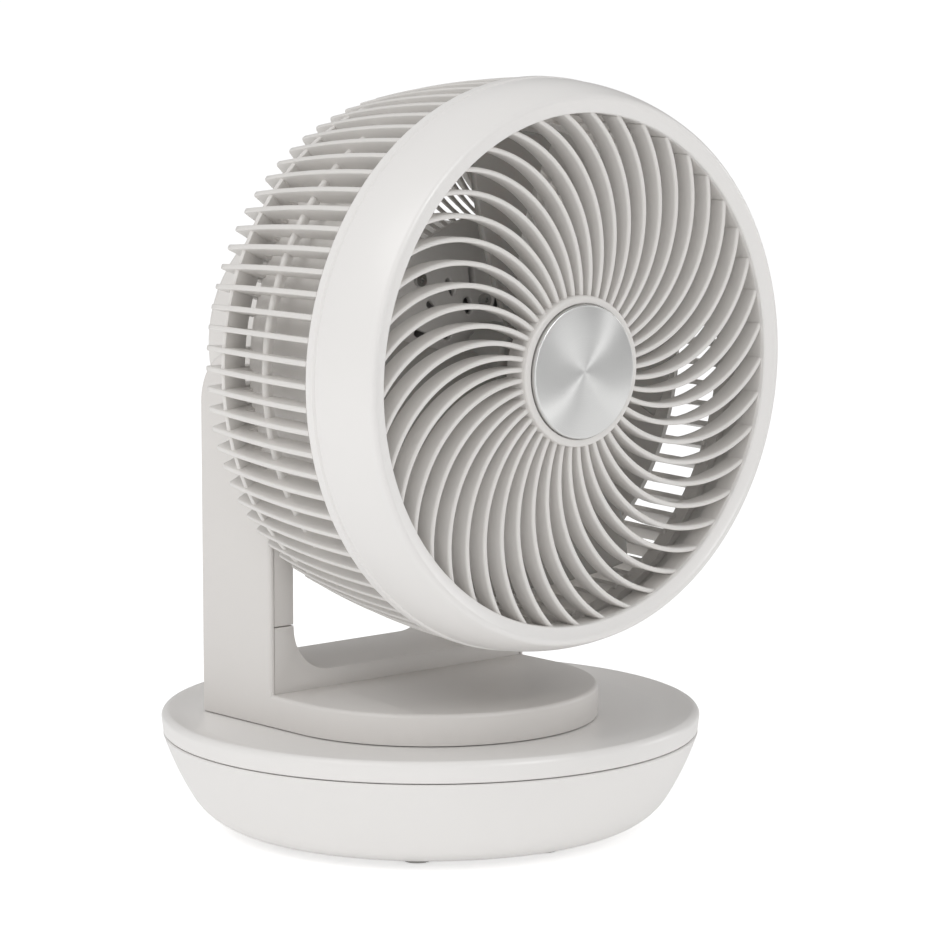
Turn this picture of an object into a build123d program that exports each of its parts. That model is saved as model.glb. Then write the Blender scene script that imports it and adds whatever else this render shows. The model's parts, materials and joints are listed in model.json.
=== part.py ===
"""Desktop air circulator: a tilting fan drum in a forked yoke on a swinging turntable and round base.

Millimetres, +Z up. The fan blows towards -Y, and +X is on the right of someone who faces it.
The origin is on the base axis, at the surface that the feet stand on.
"""

import os
from math import atan2, cos, pi, radians, sin, sqrt, tan

from build123d import *

# ---- clearances and fits ----------------------------------------------------------------------
seam_gap = 0.5           # open line where two mouldings meet
run_clearance = 0.05     # radial play of a turning fit
slide_clearance = 0.05   # play under a sliding face
loose_clearance = 0.3    # play round a part that is only located
screw_clearance = 0.25   # radial play of a screw shank in a clearance hole

# ---- base -------------------------------------------------------------------------------------
base_radius = 121.0
base_flat_radius = 84.0
bowl_corner_radius = 28.6
bowl_corner_turn = 60.0
seam_height = 43.5
side_bulge = 0.6
foot_height = 2.2
foot_radius = 6.5
foot_inset = 1.2
foot_count = 8
base_wall = 2.5
cover_rim_height = 9.8      # rim crest above the seam
cover_dish_height = 6.5     # dished centre above the seam
cover_dish_margin = 2.0     # flat of the cover beyond the farthest corner of the arms
cover_lip = 5.0
cover_lip_step = 2.3        # how much the bowl narrows over the lip's height
cover_rim_width = 2.8
cover_rim_bulge = 0.8
base_post_radius = 4.2
base_post_circle = 82.0
base_post_angles = (22.5, 157.5, 202.5, 337.5)
post_joint_height = 24.0
ballast_thickness = 6.0
ballast_radius = 76.0
ballast_inner_radius = 40.0

# ---- swing drive ------------------------------------------------------------------------------
gear_module = 1.5
gear_teeth = 48
pinion_teeth = 12
pressure_angle = 20.0
gear_backlash = 0.15
gear_thickness = 5.0
gear_gap = 1.0              # gear top below the cover
gear_bore_radius = 12.0
swing_motor_radius = 24.0
swing_motor_height = 17.0
swing_motor_gap = 2.0       # motor top below the gear
swing_motor_ear_reach = 30.5
swing_motor_ear_thickness = 1.5
pinion_shaft_radius = 2.5

# ---- board and socket -------------------------------------------------------------------------
board_length = 62.0
board_width = 40.0
board_thickness = 1.6
board_height = 16.0
board_back = 52.0           # board centre behind the base axis
standoff_radius = 3.0
standoff_inset = 4.0
standoff_pin_radius = 1.2
board_parts = (
    # x and y from the board's centre, length, width, height
    (-8.0, 0.0, 12.0, 12.0, 1.6),    # processor
    (10.0, -8.0, 7.0, 9.0, 1.6),     # motor driver
    (18.0, 8.0, 8.0, 8.0, 8.0),      # capacitor
    (-22.0, 2.0, 5.0, 14.0, 8.0),    # connector
)
socket_radius = 5.5
socket_length = 14.0
socket_height = 24.0
socket_bore_radius = 3.2
socket_pin_radius = 1.0
socket_end_wall = 3.0
socket_recess = 0.5

# ---- turntable and yoke -----------------------------------------------------------------------
turntable_radius = 75.75
turntable_gap = 0.6
turntable_height = 14.0
turntable_edge = 2.0
yoke_wall = 2.4
spindle_radius = 21.95
glide_inner_radius = 25.0
glide_outer_radius = 35.0
glide_depth = 1.2
arm_depth = 50.0
arm_thickness = 13.75
arm_back_offset = 46.0      # arm centre line and tilt axis behind the base axis
skin_thickness = 2.3
bracket_height = 8.0        # crossbar above the turntable
bracket_arm_height = 30.0   # bracket arms above the turntable
bracket_corner_radius = 21.0

# ---- head -------------------------------------------------------------------------------------
head_height = 214.8
pivot_drop = 23.1           # tilt axis below the head's own axis
front_face = 100.4          # plane of the grille opening, in front of the base axis
opening_radius = 110.75
crest_radius = 117.0
crest_forward = 1.6
bevel_width = 4.4
crease_radius = 124.6
crease_back = 28.3
band_radius = 125.3
band_back = 33.9
ring_wall = 3.0
grille_rib_count = 45
grille_rib_phase = 1.1
grille_rib_width = 2.2
grille_rib_depth = 10.0
grille_arc_radius = 63.5
grille_hub_radius = 32.7
grille_rim_width = 2.5
cap_radius = 29.1
cap_thickness = 2.6
cap_forward = 1.8

fin_count = 80
fin_thickness = 2.4
fin_tip_radius = 114.4
fin_tip_back = 15.6
fin_depth = 9.5
fin_step = 0.4              # fins stand this much inside the band
fin_bulge = 1.6
flare_step = 1.6            # the duct's flare stands this much outside the fin tips
fin_dish_back = -2.0        # rear edge of a fin half way in, and its front edge there
fin_dish_front = -9.0
collar_length = 8.0
collar_wall = 3.0
hoop_radius = 118.0
hoop_back = -28.9
hoop_width = 3.4
hoop_depth = 4.0
duct_radius = 107.0
duct_wall = 2.5
duct_front = -50.0
duct_back = 3.0
duct_slot = 6.0             # open slot between the duct and its flared rear edge, bridged by the fins
plate_front = -36.0
plate_thickness = 3.0
plate_radius = 63.0
plate_slot_count = 18
plate_slot_radius = 38.0
plate_slot_length = 8.5
plate_slot_width = 3.2
inner_slot_count = 9
inner_slot_radius = 25.5
inner_slot_length = 8.0
inner_slot_width = 4.6

housing_radius = 59.0
housing_back = 90.4
housing_wall = 2.4
housing_edge = 7.0
vent_count = 36
vent_inner_radius = 20.0
vent_outer_radius = 46.0
vent_width = 2.4

# ---- tilt pivot -------------------------------------------------------------------------------
trunnion_radius = 8.0
trunnion_bore_radius = 4.5
bush_wall = 2.0
pivot_boss_radius = 14.0
washer_thickness = 1.2
clip_thickness = 1.2
clip_width = 2.5
clip_groove_depth = 1.0
trunnion_root = 14.0        # the trunnions start this far inside the housing's side

# ---- motor and impeller -----------------------------------------------------------------------
motor_radius = 32.0
motor_length = 40.0
motor_wall = 2.0
shaft_radius = 4.0
shaft_front = -72.0
bearing_radius = 9.0
bearing_width = 6.0
rotor_radius = 20.0
air_gap = 0.5
stator_length = 22.0
impeller_radius = 101.0
impeller_hub_radius = 17.0
impeller_front = -86.0
impeller_back = -42.0
hub_front = -66.0
blade_count = 4
nut_radius = 8.0
nut_length = 9.0

# ---- screws -----------------------------------------------------------------------------------
screw_radius = 1.5
motor_screw_count = 3
housing_screw_count = 4
screw_head_radius = 2.9
screw_head_height = 2.2
screw_hex_radius = 1.2
pilot_spare = 2.0           # a pilot hole is this much deeper than its screw's grip
base_screw_seat = 13.5      # bearing face of the base screws above the floor
base_screw_shank = 21.0
ear_screw_grip = 5.5
gear_screw_grip = 9.0
bracket_screw_grip = 3.5
bracket_screw_x = 40.0
bracket_screw_y = 14.0
housing_screw_grip = 9.0
motor_screw_grip = 4.0

# ---- levels and planes worked out from the sizes above -----------------------------------------
floor_top = foot_height + base_wall
cover_top = seam_height + cover_dish_height
tilt_height = head_height - pivot_drop
cover_underside = cover_top - base_wall
turntable_bottom = cover_top + turntable_gap
turntable_top = turntable_bottom + turntable_height
gear_top = cover_underside - gear_gap
gear_bottom = gear_top - gear_thickness
swing_motor_top = gear_bottom - swing_motor_gap
gear_pitch_radius = gear_module * gear_teeth / 2
pinion_pitch_radius = gear_module * pinion_teeth / 2
pinion_offset = gear_pitch_radius + pinion_pitch_radius + gear_backlash
bracket_top = turntable_top + bracket_height
bracket_seam = turntable_top + bracket_arm_height
arm_inner_x = turntable_radius - arm_thickness
skin_inner_x = turntable_radius - skin_thickness
arm_front = arm_back_offset - arm_depth / 2
arm_back = arm_back_offset + arm_depth / 2
opening_y = -front_face
band_back_y = opening_y + band_back
motor_front = plate_front + plate_thickness
motor_back = motor_front + motor_length
yoke_reach = sqrt(turntable_radius**2 + arm_back**2)
cover_dish_radius = yoke_reach + cover_dish_margin
base_axis = Axis((0, 0, 0), (0, 0, 1))
head_axis = Axis((0, 0, head_height), (0, 1, 0))
head_section = Plane(origin=(0, 0, head_height), x_dir=(0, 1, 0), z_dir=(1, 0, 0))

os.makedirs("parts", exist_ok=True)


def save(builder, name):
    """Label a finished piece and write it as one STEP file."""
    builder.part.label = name
    export_step(builder.part, f"parts/{name}.step")


def front_plane(y):
    """Plane square to the head's axis at y, facing forward, with local axes X and Z."""
    return Plane(origin=(0, y, head_height), x_dir=(1, 0, 0), z_dir=(0, -1, 0))


def side_plane(x, y, z):
    """Plane square to the tilt axis at x, facing +X, with local axes Y and Z."""
    return Plane(origin=(x, y, z), x_dir=(0, 1, 0), z_dir=(1, 0, 0))


def bowl_section(inset, top):
    """Half section of the bowl, moved inwards by inset and closed at height top."""
    turn = radians(bowl_corner_turn)
    corner = bowl_corner_radius - inset
    centre = (base_flat_radius, foot_height + bowl_corner_radius)
    corner_end = (centre[0] + corner * sin(turn), centre[1] - corner * cos(turn))
    rim = (base_radius - inset, top)
    middle = ((corner_end[0] + rim[0]) / 2 + side_bulge, (corner_end[1] + rim[1]) / 2 - side_bulge)
    with BuildSketch(Plane.XZ) as section:
        with BuildLine():
            Line((0, foot_height + inset), (base_flat_radius, foot_height + inset))
            CenterArc(centre, corner, -90, bowl_corner_turn)
            ThreePointArc(corner_end, middle, rim)
            Polyline(rim, (0, top), (0, foot_height + inset))
        make_face()
    return section.sketch


def bowl_radius(height):
    """Radius of the bowl's straight side at a height."""
    low_radius = base_flat_radius + bowl_corner_radius * sin(radians(bowl_corner_turn))
    low_height = foot_height + bowl_corner_radius * (1 - cos(radians(bowl_corner_turn)))
    share = (height - low_height) / (seam_height - low_height)
    return low_radius + share * (base_radius - low_radius)


def gear_outline(teeth):
    """Involute spur gear outline, one tooth centred on the local X axis."""
    pitch_radius = gear_module * teeth / 2
    base_circle = pitch_radius * cos(radians(pressure_angle))
    tip_radius = pitch_radius + gear_module
    root_radius = pitch_radius - 1.25 * gear_module
    start_radius = max(base_circle, root_radius)
    half_tooth = pi / (2 * teeth) - gear_backlash / (2 * pitch_radius)
    pitch_involute = tan(radians(pressure_angle)) - radians(pressure_angle)

    def flank(radius, side):
        roll = sqrt(max((radius / base_circle) ** 2 - 1, 0))
        angle = half_tooth + pitch_involute - (roll - atan2(roll, 1))
        return (radius * cos(side * angle), radius * sin(side * angle))

    radii = [start_radius + (tip_radius - start_radius) * step / 4 for step in range(5)]
    core = root_radius - gear_module
    right, left = flank(start_radius, -1), flank(start_radius, 1)
    with BuildSketch() as tooth:
        with BuildLine():
            Spline(*[flank(radius, -1) for radius in radii])
            ThreePointArc(flank(tip_radius, -1), (tip_radius, 0), flank(tip_radius, 1))
            Spline(*[flank(radius, 1) for radius in reversed(radii)])
            Polyline(left, (core, left[1]), (core, right[1]), right)
        make_face()
    with BuildSketch() as gear:
        Circle(root_radius)
        with PolarLocations(0, teeth):
            add(tooth.sketch)
    return gear.sketch


def screw(plane, shank):
    """Pan head screw: head behind the plane, shank running forward along its normal."""
    with BuildPart() as one_screw:
        with BuildSketch(plane):
            Circle(screw_radius)
        extrude(amount=shank)
        with BuildSketch(plane):
            Circle(screw_head_radius)
        extrude(amount=-screw_head_height)
        with BuildSketch(plane.offset(-screw_head_height)):
            RegularPolygon(screw_hex_radius, 6)
        extrude(amount=screw_head_height / 2, mode=Mode.SUBTRACT)
    return one_screw.part


def ring_points(radius, count, start=0.0):
    """Points of an even circle pattern."""
    step = 2 * pi / count
    first = radians(start)
    return [(radius * cos(first + k * step), radius * sin(first + k * step)) for k in range(count)]


def tube(plane, outer, inner):
    """Ring sketch on a plane."""
    with BuildSketch(plane) as ring:
        Circle(outer)
        Circle(inner, mode=Mode.SUBTRACT)
    return ring.sketch


# ================================================================================================
# Base
# ================================================================================================
post_points = [
    (base_post_circle * cos(radians(turn)), base_post_circle * sin(radians(turn)))
    for turn in base_post_angles
]
socket_face = bowl_radius(socket_height) - socket_recess
board_posts = [
    (side * (board_length / 2 - standoff_inset), board_back + end * (board_width / 2 - standoff_inset))
    for side in (-1, 1)
    for end in (-1, 1)
]

with BuildPart() as base_shell:
    revolve(bowl_section(0, seam_height), axis=base_axis)
    revolve(bowl_section(base_wall, seam_height), axis=base_axis, mode=Mode.SUBTRACT)
    # screw posts rise from the floor and meet the cover's posts half way
    with BuildSketch(Plane.XY.offset(foot_height + base_wall / 2)):
        with Locations(*post_points):
            Circle(base_post_radius)
    extrude(amount=post_joint_height - foot_height - base_wall / 2)
    with BuildSketch():
        with Locations(*post_points):
            Circle(screw_head_radius + screw_clearance)
    extrude(amount=base_screw_seat, mode=Mode.SUBTRACT)
    with BuildSketch():
        with Locations(*post_points):
            Circle(screw_radius + screw_clearance)
    extrude(amount=seam_height, mode=Mode.SUBTRACT)
    # board standoffs
    with BuildSketch(Plane.XY.offset(floor_top - 0.5)):
        with Locations(*board_posts):
            Circle(standoff_radius)
    extrude(amount=board_height - floor_top + 0.5)
    # shallow pockets for the feet
    with BuildSketch(Plane.XY.offset(foot_height)):
        with PolarLocations(base_flat_radius - foot_radius - foot_inset, foot_count):
            Circle(foot_radius + loose_clearance)
    extrude(amount=foot_inset, mode=Mode.SUBTRACT)
    # round seat for the power socket through the rear wall
    with BuildSketch(Plane.XZ.offset(-(socket_face - socket_length + socket_end_wall))):
        with Locations((0, socket_height)):
            Circle(socket_radius + base_wall)
    extrude(until=Until.NEXT, dir=(0, 1, 0))
    with BuildSketch(Plane.XZ.offset(-(socket_face - socket_length))):
        with Locations((0, socket_height)):
            Circle(socket_radius)
    extrude(amount=-2 * socket_length, mode=Mode.SUBTRACT)
save(base_shell, "base_shell")

rim_outer = base_radius
rim_inner = rim_outer - cover_rim_width
lip_radius = base_radius - base_wall - cover_lip_step
dish_middle = (rim_inner + cover_dish_radius) / 2
dish_rise = cover_rim_height - cover_dish_height
cover_side = seam_height + seam_gap
rim_crest = seam_height + cover_rim_height
with BuildPart() as base_cover:
    with BuildSketch(Plane.XZ):
        with BuildLine():
            edge = Line((rim_outer, cover_side), (rim_outer + cover_rim_bulge, rim_crest - cover_rim_width))
            corner = ThreePointArc(edge @ 1, (rim_outer, rim_crest - cover_rim_bulge), (rim_inner, rim_crest))
            dish = ThreePointArc(
                corner @ 1, (dish_middle, cover_top + 0.35 * dish_rise), (cover_dish_radius, cover_top)
            )
            Polyline(
                dish @ 1,
                (spindle_radius + run_clearance, cover_top),
                (spindle_radius + run_clearance, cover_underside),
                (cover_dish_radius, cover_underside),
            )
            Polyline(
                (cover_dish_radius, cover_underside),
                (lip_radius - base_wall, cover_underside + 0.3 * dish_rise),
                (lip_radius - base_wall, seam_height - cover_lip),
                (lip_radius, seam_height - cover_lip),
                (lip_radius, cover_side),
                (rim_outer, cover_side),
            )
        make_face()
    revolve(axis=base_axis)
    # glide ring track
    with BuildSketch(Plane.XY.offset(cover_top)):
        Circle(glide_outer_radius + loose_clearance)
        Circle(glide_inner_radius - loose_clearance, mode=Mode.SUBTRACT)
    extrude(amount=-glide_depth, mode=Mode.SUBTRACT)
    # posts down to the shell's posts
    with BuildSketch(Plane.XY.offset(cover_underside + base_wall / 2)):
        with Locations(*post_points):
            Circle(base_post_radius)
    extrude(amount=-(cover_underside + base_wall / 2 - post_joint_height))
    with BuildSketch(Plane.XY.offset(post_joint_height)):
        with Locations(*post_points):
            Circle(screw_radius + run_clearance)
    extrude(amount=base_screw_seat + base_screw_shank + pilot_spare - post_joint_height, mode=Mode.SUBTRACT)
    # posts for the swing motor's ears
    with BuildSketch(Plane.XY.offset(cover_underside + base_wall / 2)):
        with Locations((-swing_motor_ear_reach, -pinion_offset), (swing_motor_ear_reach, -pinion_offset)):
            Circle(base_post_radius)
    extrude(amount=-(cover_underside + base_wall / 2 - swing_motor_top))
    with BuildSketch(Plane.XY.offset(swing_motor_top)):
        with Locations((-swing_motor_ear_reach, -pinion_offset), (swing_motor_ear_reach, -pinion_offset)):
            Circle(screw_radius + run_clearance)
    extrude(amount=ear_screw_grip + pilot_spare, mode=Mode.SUBTRACT)
save(base_cover, "base_cover")

with BuildPart() as ballast_plate:
    with BuildSketch(Plane.XY.offset(floor_top)):
        Circle(ballast_radius)
        Circle(ballast_inner_radius, mode=Mode.SUBTRACT)
        with Locations((0, ballast_radius / 2 + 5)):
            Rectangle(board_length + 8, ballast_radius + 10, mode=Mode.SUBTRACT)
    extrude(amount=ballast_thickness)
    fillet(ballast_plate.edges().filter_by(Axis.Z), radius=3)
save(ballast_plate, "ballast_plate")

with BuildPart() as rubber_feet:
    with BuildSketch():
        with PolarLocations(base_flat_radius - foot_radius - foot_inset, foot_count):
            Circle(foot_radius)
    extrude(amount=foot_height + foot_inset)
    chamfer(rubber_feet.faces().sort_by(Axis.Z)[0:foot_count].edges(), length=0.6)
save(rubber_feet, "rubber_feet")

with BuildPart() as base_screws:
    for x, y in post_points:
        add(screw(Plane((x, y, base_screw_seat)), base_screw_shank))
save(base_screws, "base_screws")

with BuildPart() as swing_motor:
    with BuildSketch(Plane.XY.offset(swing_motor_top - swing_motor_height)):
        with Locations((0, -pinion_offset)):
            Circle(swing_motor_radius)
    extrude(amount=swing_motor_height)
    fillet(swing_motor.edges().filter_by(GeomType.CIRCLE), radius=1.0)
    with BuildSketch(Plane.XY.offset(swing_motor_top - swing_motor_ear_thickness)):
        with Locations((0, -pinion_offset)):
            SlotCenterToCenter(2 * swing_motor_ear_reach, 9)
    extrude(amount=swing_motor_ear_thickness)
    with BuildSketch(Plane.XY.offset(swing_motor_top)):
        with Locations((-swing_motor_ear_reach, -pinion_offset), (swing_motor_ear_reach, -pinion_offset)):
            Circle(screw_radius + screw_clearance)
    extrude(amount=-swing_motor_height, mode=Mode.SUBTRACT)
    # blind bearing for the output shaft
    with BuildSketch(Plane.XY.offset(swing_motor_top)):
        with Locations((0, -pinion_offset)):
            Circle(pinion_shaft_radius + run_clearance)
    extrude(amount=-swing_motor_height / 2, mode=Mode.SUBTRACT)
save(swing_motor, "swing_motor")

ear_bottom = swing_motor_top - swing_motor_ear_thickness
with BuildPart() as swing_motor_screws:
    for x in (-swing_motor_ear_reach, swing_motor_ear_reach):
        add(screw(Plane((x, -pinion_offset, ear_bottom)), swing_motor_ear_thickness + ear_screw_grip))
save(swing_motor_screws, "swing_motor_screws")

with BuildPart() as drive_pinion:
    with BuildSketch(Plane((0, -pinion_offset, gear_bottom - 0.5), x_dir=(0, 1, 0))):
        add(gear_outline(pinion_teeth))
    extrude(amount=gear_thickness + 1)
    with BuildSketch(Plane.XY.offset(gear_bottom - 0.5)):
        with Locations((0, -pinion_offset)):
            Circle(pinion_shaft_radius)
    extrude(amount=-(swing_motor_gap - 0.5 + swing_motor_height / 2 - 1))
save(drive_pinion, "drive_pinion")

with BuildPart() as control_board:
    with BuildSketch(Plane.XY.offset(board_height)):
        with Locations((0, board_back)):
            RectangleRounded(board_length, board_width, 2)
        with Locations(*board_posts):
            Circle(standoff_pin_radius, mode=Mode.SUBTRACT)
    extrude(amount=board_thickness)
    for x, y, length, width, height in board_parts:
        with BuildSketch(Plane.XY.offset(board_height + board_thickness)):
            with Locations((x, board_back + y)):
                Rectangle(length, width)
        extrude(amount=height)
save(control_board, "control_board")

with BuildPart() as power_socket:
    with BuildSketch(Plane.XZ.offset(-socket_face)):
        with Locations((0, socket_height)):
            Circle(socket_radius)
    extrude(amount=socket_length)
    with BuildSketch(Plane.XZ.offset(-socket_face)):
        with Locations((0, socket_height)):
            Circle(socket_bore_radius)
            Circle(socket_pin_radius, mode=Mode.SUBTRACT)
    extrude(amount=socket_length - socket_end_wall, mode=Mode.SUBTRACT)
save(power_socket, "power_socket")

with BuildPart() as glide_ring:
    with BuildSketch(Plane.XY.offset(cover_top - glide_depth)):
        Circle(glide_outer_radius)
        Circle(glide_inner_radius, mode=Mode.SUBTRACT)
    extrude(amount=glide_depth + turntable_gap - slide_clearance)
save(glide_ring, "glide_ring")

# ================================================================================================
# Turntable and yoke
# ================================================================================================
gear_screw_points = ring_points((gear_bore_radius + spindle_radius) / 2, 4, start=45)
bracket_screw_points = [
    (side * bracket_screw_x, arm_back_offset + end * bracket_screw_y) for side in (-1, 1) for end in (-1, 1)
]


def turntable_outline(inset):
    """Round front with straight sides running back to the rear edge of the arms."""
    reach = turntable_radius - inset
    back = arm_back - inset
    Circle(reach)
    with Locations((0, back / 2)):
        Rectangle(2 * reach, back)
    with Locations((0, (back - reach) / 2)):
        Rectangle(2 * reach, reach + back, mode=Mode.INTERSECT)


def arm_outline(inset, bottom):
    """Side view of an arm: straight edges up to a half round centred on the tilt axis."""
    half_depth = arm_depth / 2 - inset
    Circle(half_depth)
    with Locations((0, (bottom - tilt_height) / 2)):
        Rectangle(2 * half_depth, tilt_height - bottom)


with BuildPart() as yoke_shell:
    with BuildSketch(Plane.XY.offset(turntable_bottom)):
        turntable_outline(0)
    extrude(amount=turntable_height)
    fillet(yoke_shell.edges().group_by(Axis.Z)[-1], radius=turntable_edge)
    # outer skins of the two arms
    for side in (-1, 1):
        with BuildSketch(side_plane(side * turntable_radius, arm_back_offset, tilt_height)):
            arm_outline(0, turntable_bottom + 0.5)
        extrude(amount=-side * skin_thickness)
    for side in (-1, 1):
        face = yoke_shell.faces().filter_by(Axis.X).sort_by(Axis.X)[-1 if side > 0 else 0]
        crown = face.edges().filter_by(GeomType.CIRCLE)
        fillet(crown + crown.sort_by(Axis.Z)[-1:], radius=1.9)
    # hollow underneath, with the spindle tube left standing in the middle
    with BuildSketch(Plane.XY.offset(turntable_bottom)):
        turntable_outline(yoke_wall)
        Circle(glide_outer_radius + 2, mode=Mode.SUBTRACT)
        with Locations(*bracket_screw_points):
            Circle(screw_head_radius + 1.5, mode=Mode.SUBTRACT)
    extrude(amount=turntable_height - yoke_wall, mode=Mode.SUBTRACT)
    with BuildSketch(Plane.XY.offset(gear_top)):
        Circle(spindle_radius)
    extrude(amount=turntable_bottom - gear_top)
    with BuildSketch(Plane.XY.offset(gear_top)):
        Circle(gear_bore_radius)
    extrude(amount=turntable_top - yoke_wall - gear_top, mode=Mode.SUBTRACT)
    with BuildSketch(Plane.XY.offset(gear_top)):
        with Locations(*gear_screw_points):
            Circle(screw_radius + run_clearance)
    extrude(amount=gear_screw_grip + pilot_spare, mode=Mode.SUBTRACT)
    with BuildSketch(Plane.XY.offset(turntable_bottom)):
        with Locations(*bracket_screw_points):
            Circle(screw_head_radius + screw_clearance)
    extrude(amount=turntable_height - 2 * yoke_wall, mode=Mode.SUBTRACT)
    with BuildSketch(Plane.XY.offset(turntable_bottom)):
        with Locations(*bracket_screw_points):
            Circle(screw_radius + screw_clearance)
    extrude(amount=turntable_height, mode=Mode.SUBTRACT)
save(yoke_shell, "yoke_shell")

bracket_half_width = skin_inner_x - seam_gap
with BuildPart() as yoke_bracket:
    with BuildSketch(Plane.XZ.offset(-(arm_back - loose_clearance))):
        with Locations((0, (turntable_top + bracket_seam) / 2)):
            Rectangle(2 * bracket_half_width, bracket_seam - turntable_top)
        with BuildSketch(mode=Mode.SUBTRACT):
            with Locations((0, bracket_top + 50)):
                RectangleRounded(2 * arm_inner_x, 100, bracket_corner_radius)
    extrude(amount=arm_depth - 2 * loose_clearance)
    # hollow, open towards the outer skins and the turntable
    with BuildSketch(Plane.XZ.offset(-(arm_back - loose_clearance - yoke_wall))):
        with Locations((0, (turntable_top + bracket_seam - yoke_wall) / 2)):
            Rectangle(2 * bracket_half_width, bracket_seam - yoke_wall - turntable_top)
        with BuildSketch(mode=Mode.SUBTRACT):
            with Locations((0, bracket_top + 50 - yoke_wall)):
                RectangleRounded(2 * (arm_inner_x + yoke_wall), 100, bracket_corner_radius + yoke_wall)
        with Locations((-bracket_screw_x, turntable_top), (bracket_screw_x, turntable_top)):
            Rectangle(9, 4 * bracket_height, mode=Mode.SUBTRACT)
    extrude(amount=arm_depth - 2 * loose_clearance - 2 * yoke_wall, mode=Mode.SUBTRACT)
    with BuildSketch(Plane.XY.offset(turntable_top)):
        with Locations(*bracket_screw_points):
            Circle(screw_radius + run_clearance)
    extrude(amount=bracket_height - yoke_wall, mode=Mode.SUBTRACT)
save(yoke_bracket, "yoke_bracket")

with BuildPart() as bracket_screws:
    for x, y in bracket_screw_points:
        add(screw(Plane((x, y, turntable_top - 2 * yoke_wall)), 2 * yoke_wall + bracket_screw_grip))
save(bracket_screws, "bracket_screws")

bush_radius = trunnion_radius + run_clearance + bush_wall
bush_length = arm_thickness - skin_thickness - seam_gap - yoke_wall
for side, name in ((-1, "left"), (1, "right")):
    inner_x = side * arm_inner_x
    bush_end_x = inner_x + side * (yoke_wall + bush_length / 2)
    with BuildPart() as inner_cover:
        with BuildSketch(side_plane(inner_x, arm_back_offset, tilt_height)):
            arm_outline(loose_clearance, bracket_seam + seam_gap)
        extrude(amount=side * (bracket_half_width - arm_inner_x))
        with BuildSketch(side_plane(inner_x + side * yoke_wall, arm_back_offset, tilt_height)):
            arm_outline(loose_clearance + yoke_wall, bracket_seam + seam_gap + yoke_wall)
            Circle(bush_radius + yoke_wall, mode=Mode.SUBTRACT)
        extrude(amount=side * arm_thickness, mode=Mode.SUBTRACT)
        with BuildSketch(side_plane(bush_end_x, arm_back_offset, tilt_height)):
            Circle(bush_radius + yoke_wall)
        extrude(amount=side * arm_thickness, mode=Mode.SUBTRACT)
        with BuildSketch(side_plane(inner_x, arm_back_offset, tilt_height)):
            Circle(bush_radius)
        extrude(amount=side * arm_thickness, mode=Mode.SUBTRACT)
    save(inner_cover, f"inner_cover_{name}")

    with BuildPart() as tilt_bush:
        with BuildSketch(side_plane(inner_x, arm_back_offset, tilt_height)):
            Circle(bush_radius)
            Circle(trunnion_radius + run_clearance, mode=Mode.SUBTRACT)
        extrude(amount=side * (yoke_wall + bush_length / 2))
    save(tilt_bush, f"tilt_bush_{name}")

with BuildPart() as turntable_gear:
    half_pitch = pi / gear_teeth
    with BuildSketch(Plane((0, 0, gear_bottom), x_dir=(sin(half_pitch), -cos(half_pitch), 0))):
        add(gear_outline(gear_teeth))
        Circle(gear_bore_radius, mode=Mode.SUBTRACT)
    extrude(amount=gear_thickness)
    with BuildSketch(Plane.XY.offset(gear_bottom)):
        with Locations(*gear_screw_points):
            Circle(screw_radius + screw_clearance)
    extrude(amount=gear_thickness, mode=Mode.SUBTRACT)
save(turntable_gear, "turntable_gear")

with BuildPart() as gear_screws:
    for x, y in gear_screw_points:
        add(screw(Plane((x, y, gear_bottom)), gear_thickness + gear_screw_grip))
save(gear_screws, "gear_screws")

# ================================================================================================
# Head: ring, grille, cage and housing
# ================================================================================================
crest_y = opening_y - crest_forward
crease_y = opening_y + crease_back
grille_rim_radius = opening_radius + grille_rim_width
with BuildPart() as front_ring:
    with BuildSketch(head_section):
        with BuildLine():
            bevel = Line((opening_y, opening_radius), (crest_y + 0.6, opening_radius + bevel_width))
            crest = ThreePointArc(bevel @ 1, (crest_y, crest_radius), (crest_y + 1.6, crest_radius + 2.0))
            band = ThreePointArc(crest @ 1, (crest_y + 13, crease_radius - 1.9), (crease_y, crease_radius))
            Polyline(
                band @ 1,
                (crease_y + 0.4, crease_radius - 0.3),
                (crease_y + 0.9, band_radius - 0.3),
                (band_back_y, band_radius),
                (band_back_y, band_radius - ring_wall),
                (crease_y, crease_radius - ring_wall),
            )
            lining = ThreePointArc(
                (crease_y, crease_radius - ring_wall),
                (crest_y + 13, crease_radius - 1.9 - ring_wall),
                (crest_y + 5, crest_radius - 0.5),
            )
            Polyline(
                lining @ 1,
                (crest_y + 5, grille_rim_radius + loose_clearance),
                (opening_y + 2, grille_rim_radius + loose_clearance),
                (opening_y + 2, opening_radius),
                (opening_y, opening_radius),
            )
        make_face()
    revolve(axis=head_axis)
save(front_ring, "front_ring")

rib_start = grille_hub_radius - 1.0
rib_sweep = 90.0
rib_centre = (rib_start, grille_arc_radius)
near_radius = grille_arc_radius - grille_rib_width / 2
far_radius = grille_arc_radius + grille_rib_width / 2
with BuildSketch() as grille_rib:
    with BuildLine():
        near = CenterArc(rib_centre, near_radius, -90, rib_sweep)
        far = CenterArc(rib_centre, far_radius, -90, rib_sweep)
        Line(near @ 0, far @ 0)
        Line(near @ 1, far @ 1)
    make_face()
    Circle(grille_rim_radius - 1, mode=Mode.INTERSECT)

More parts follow.
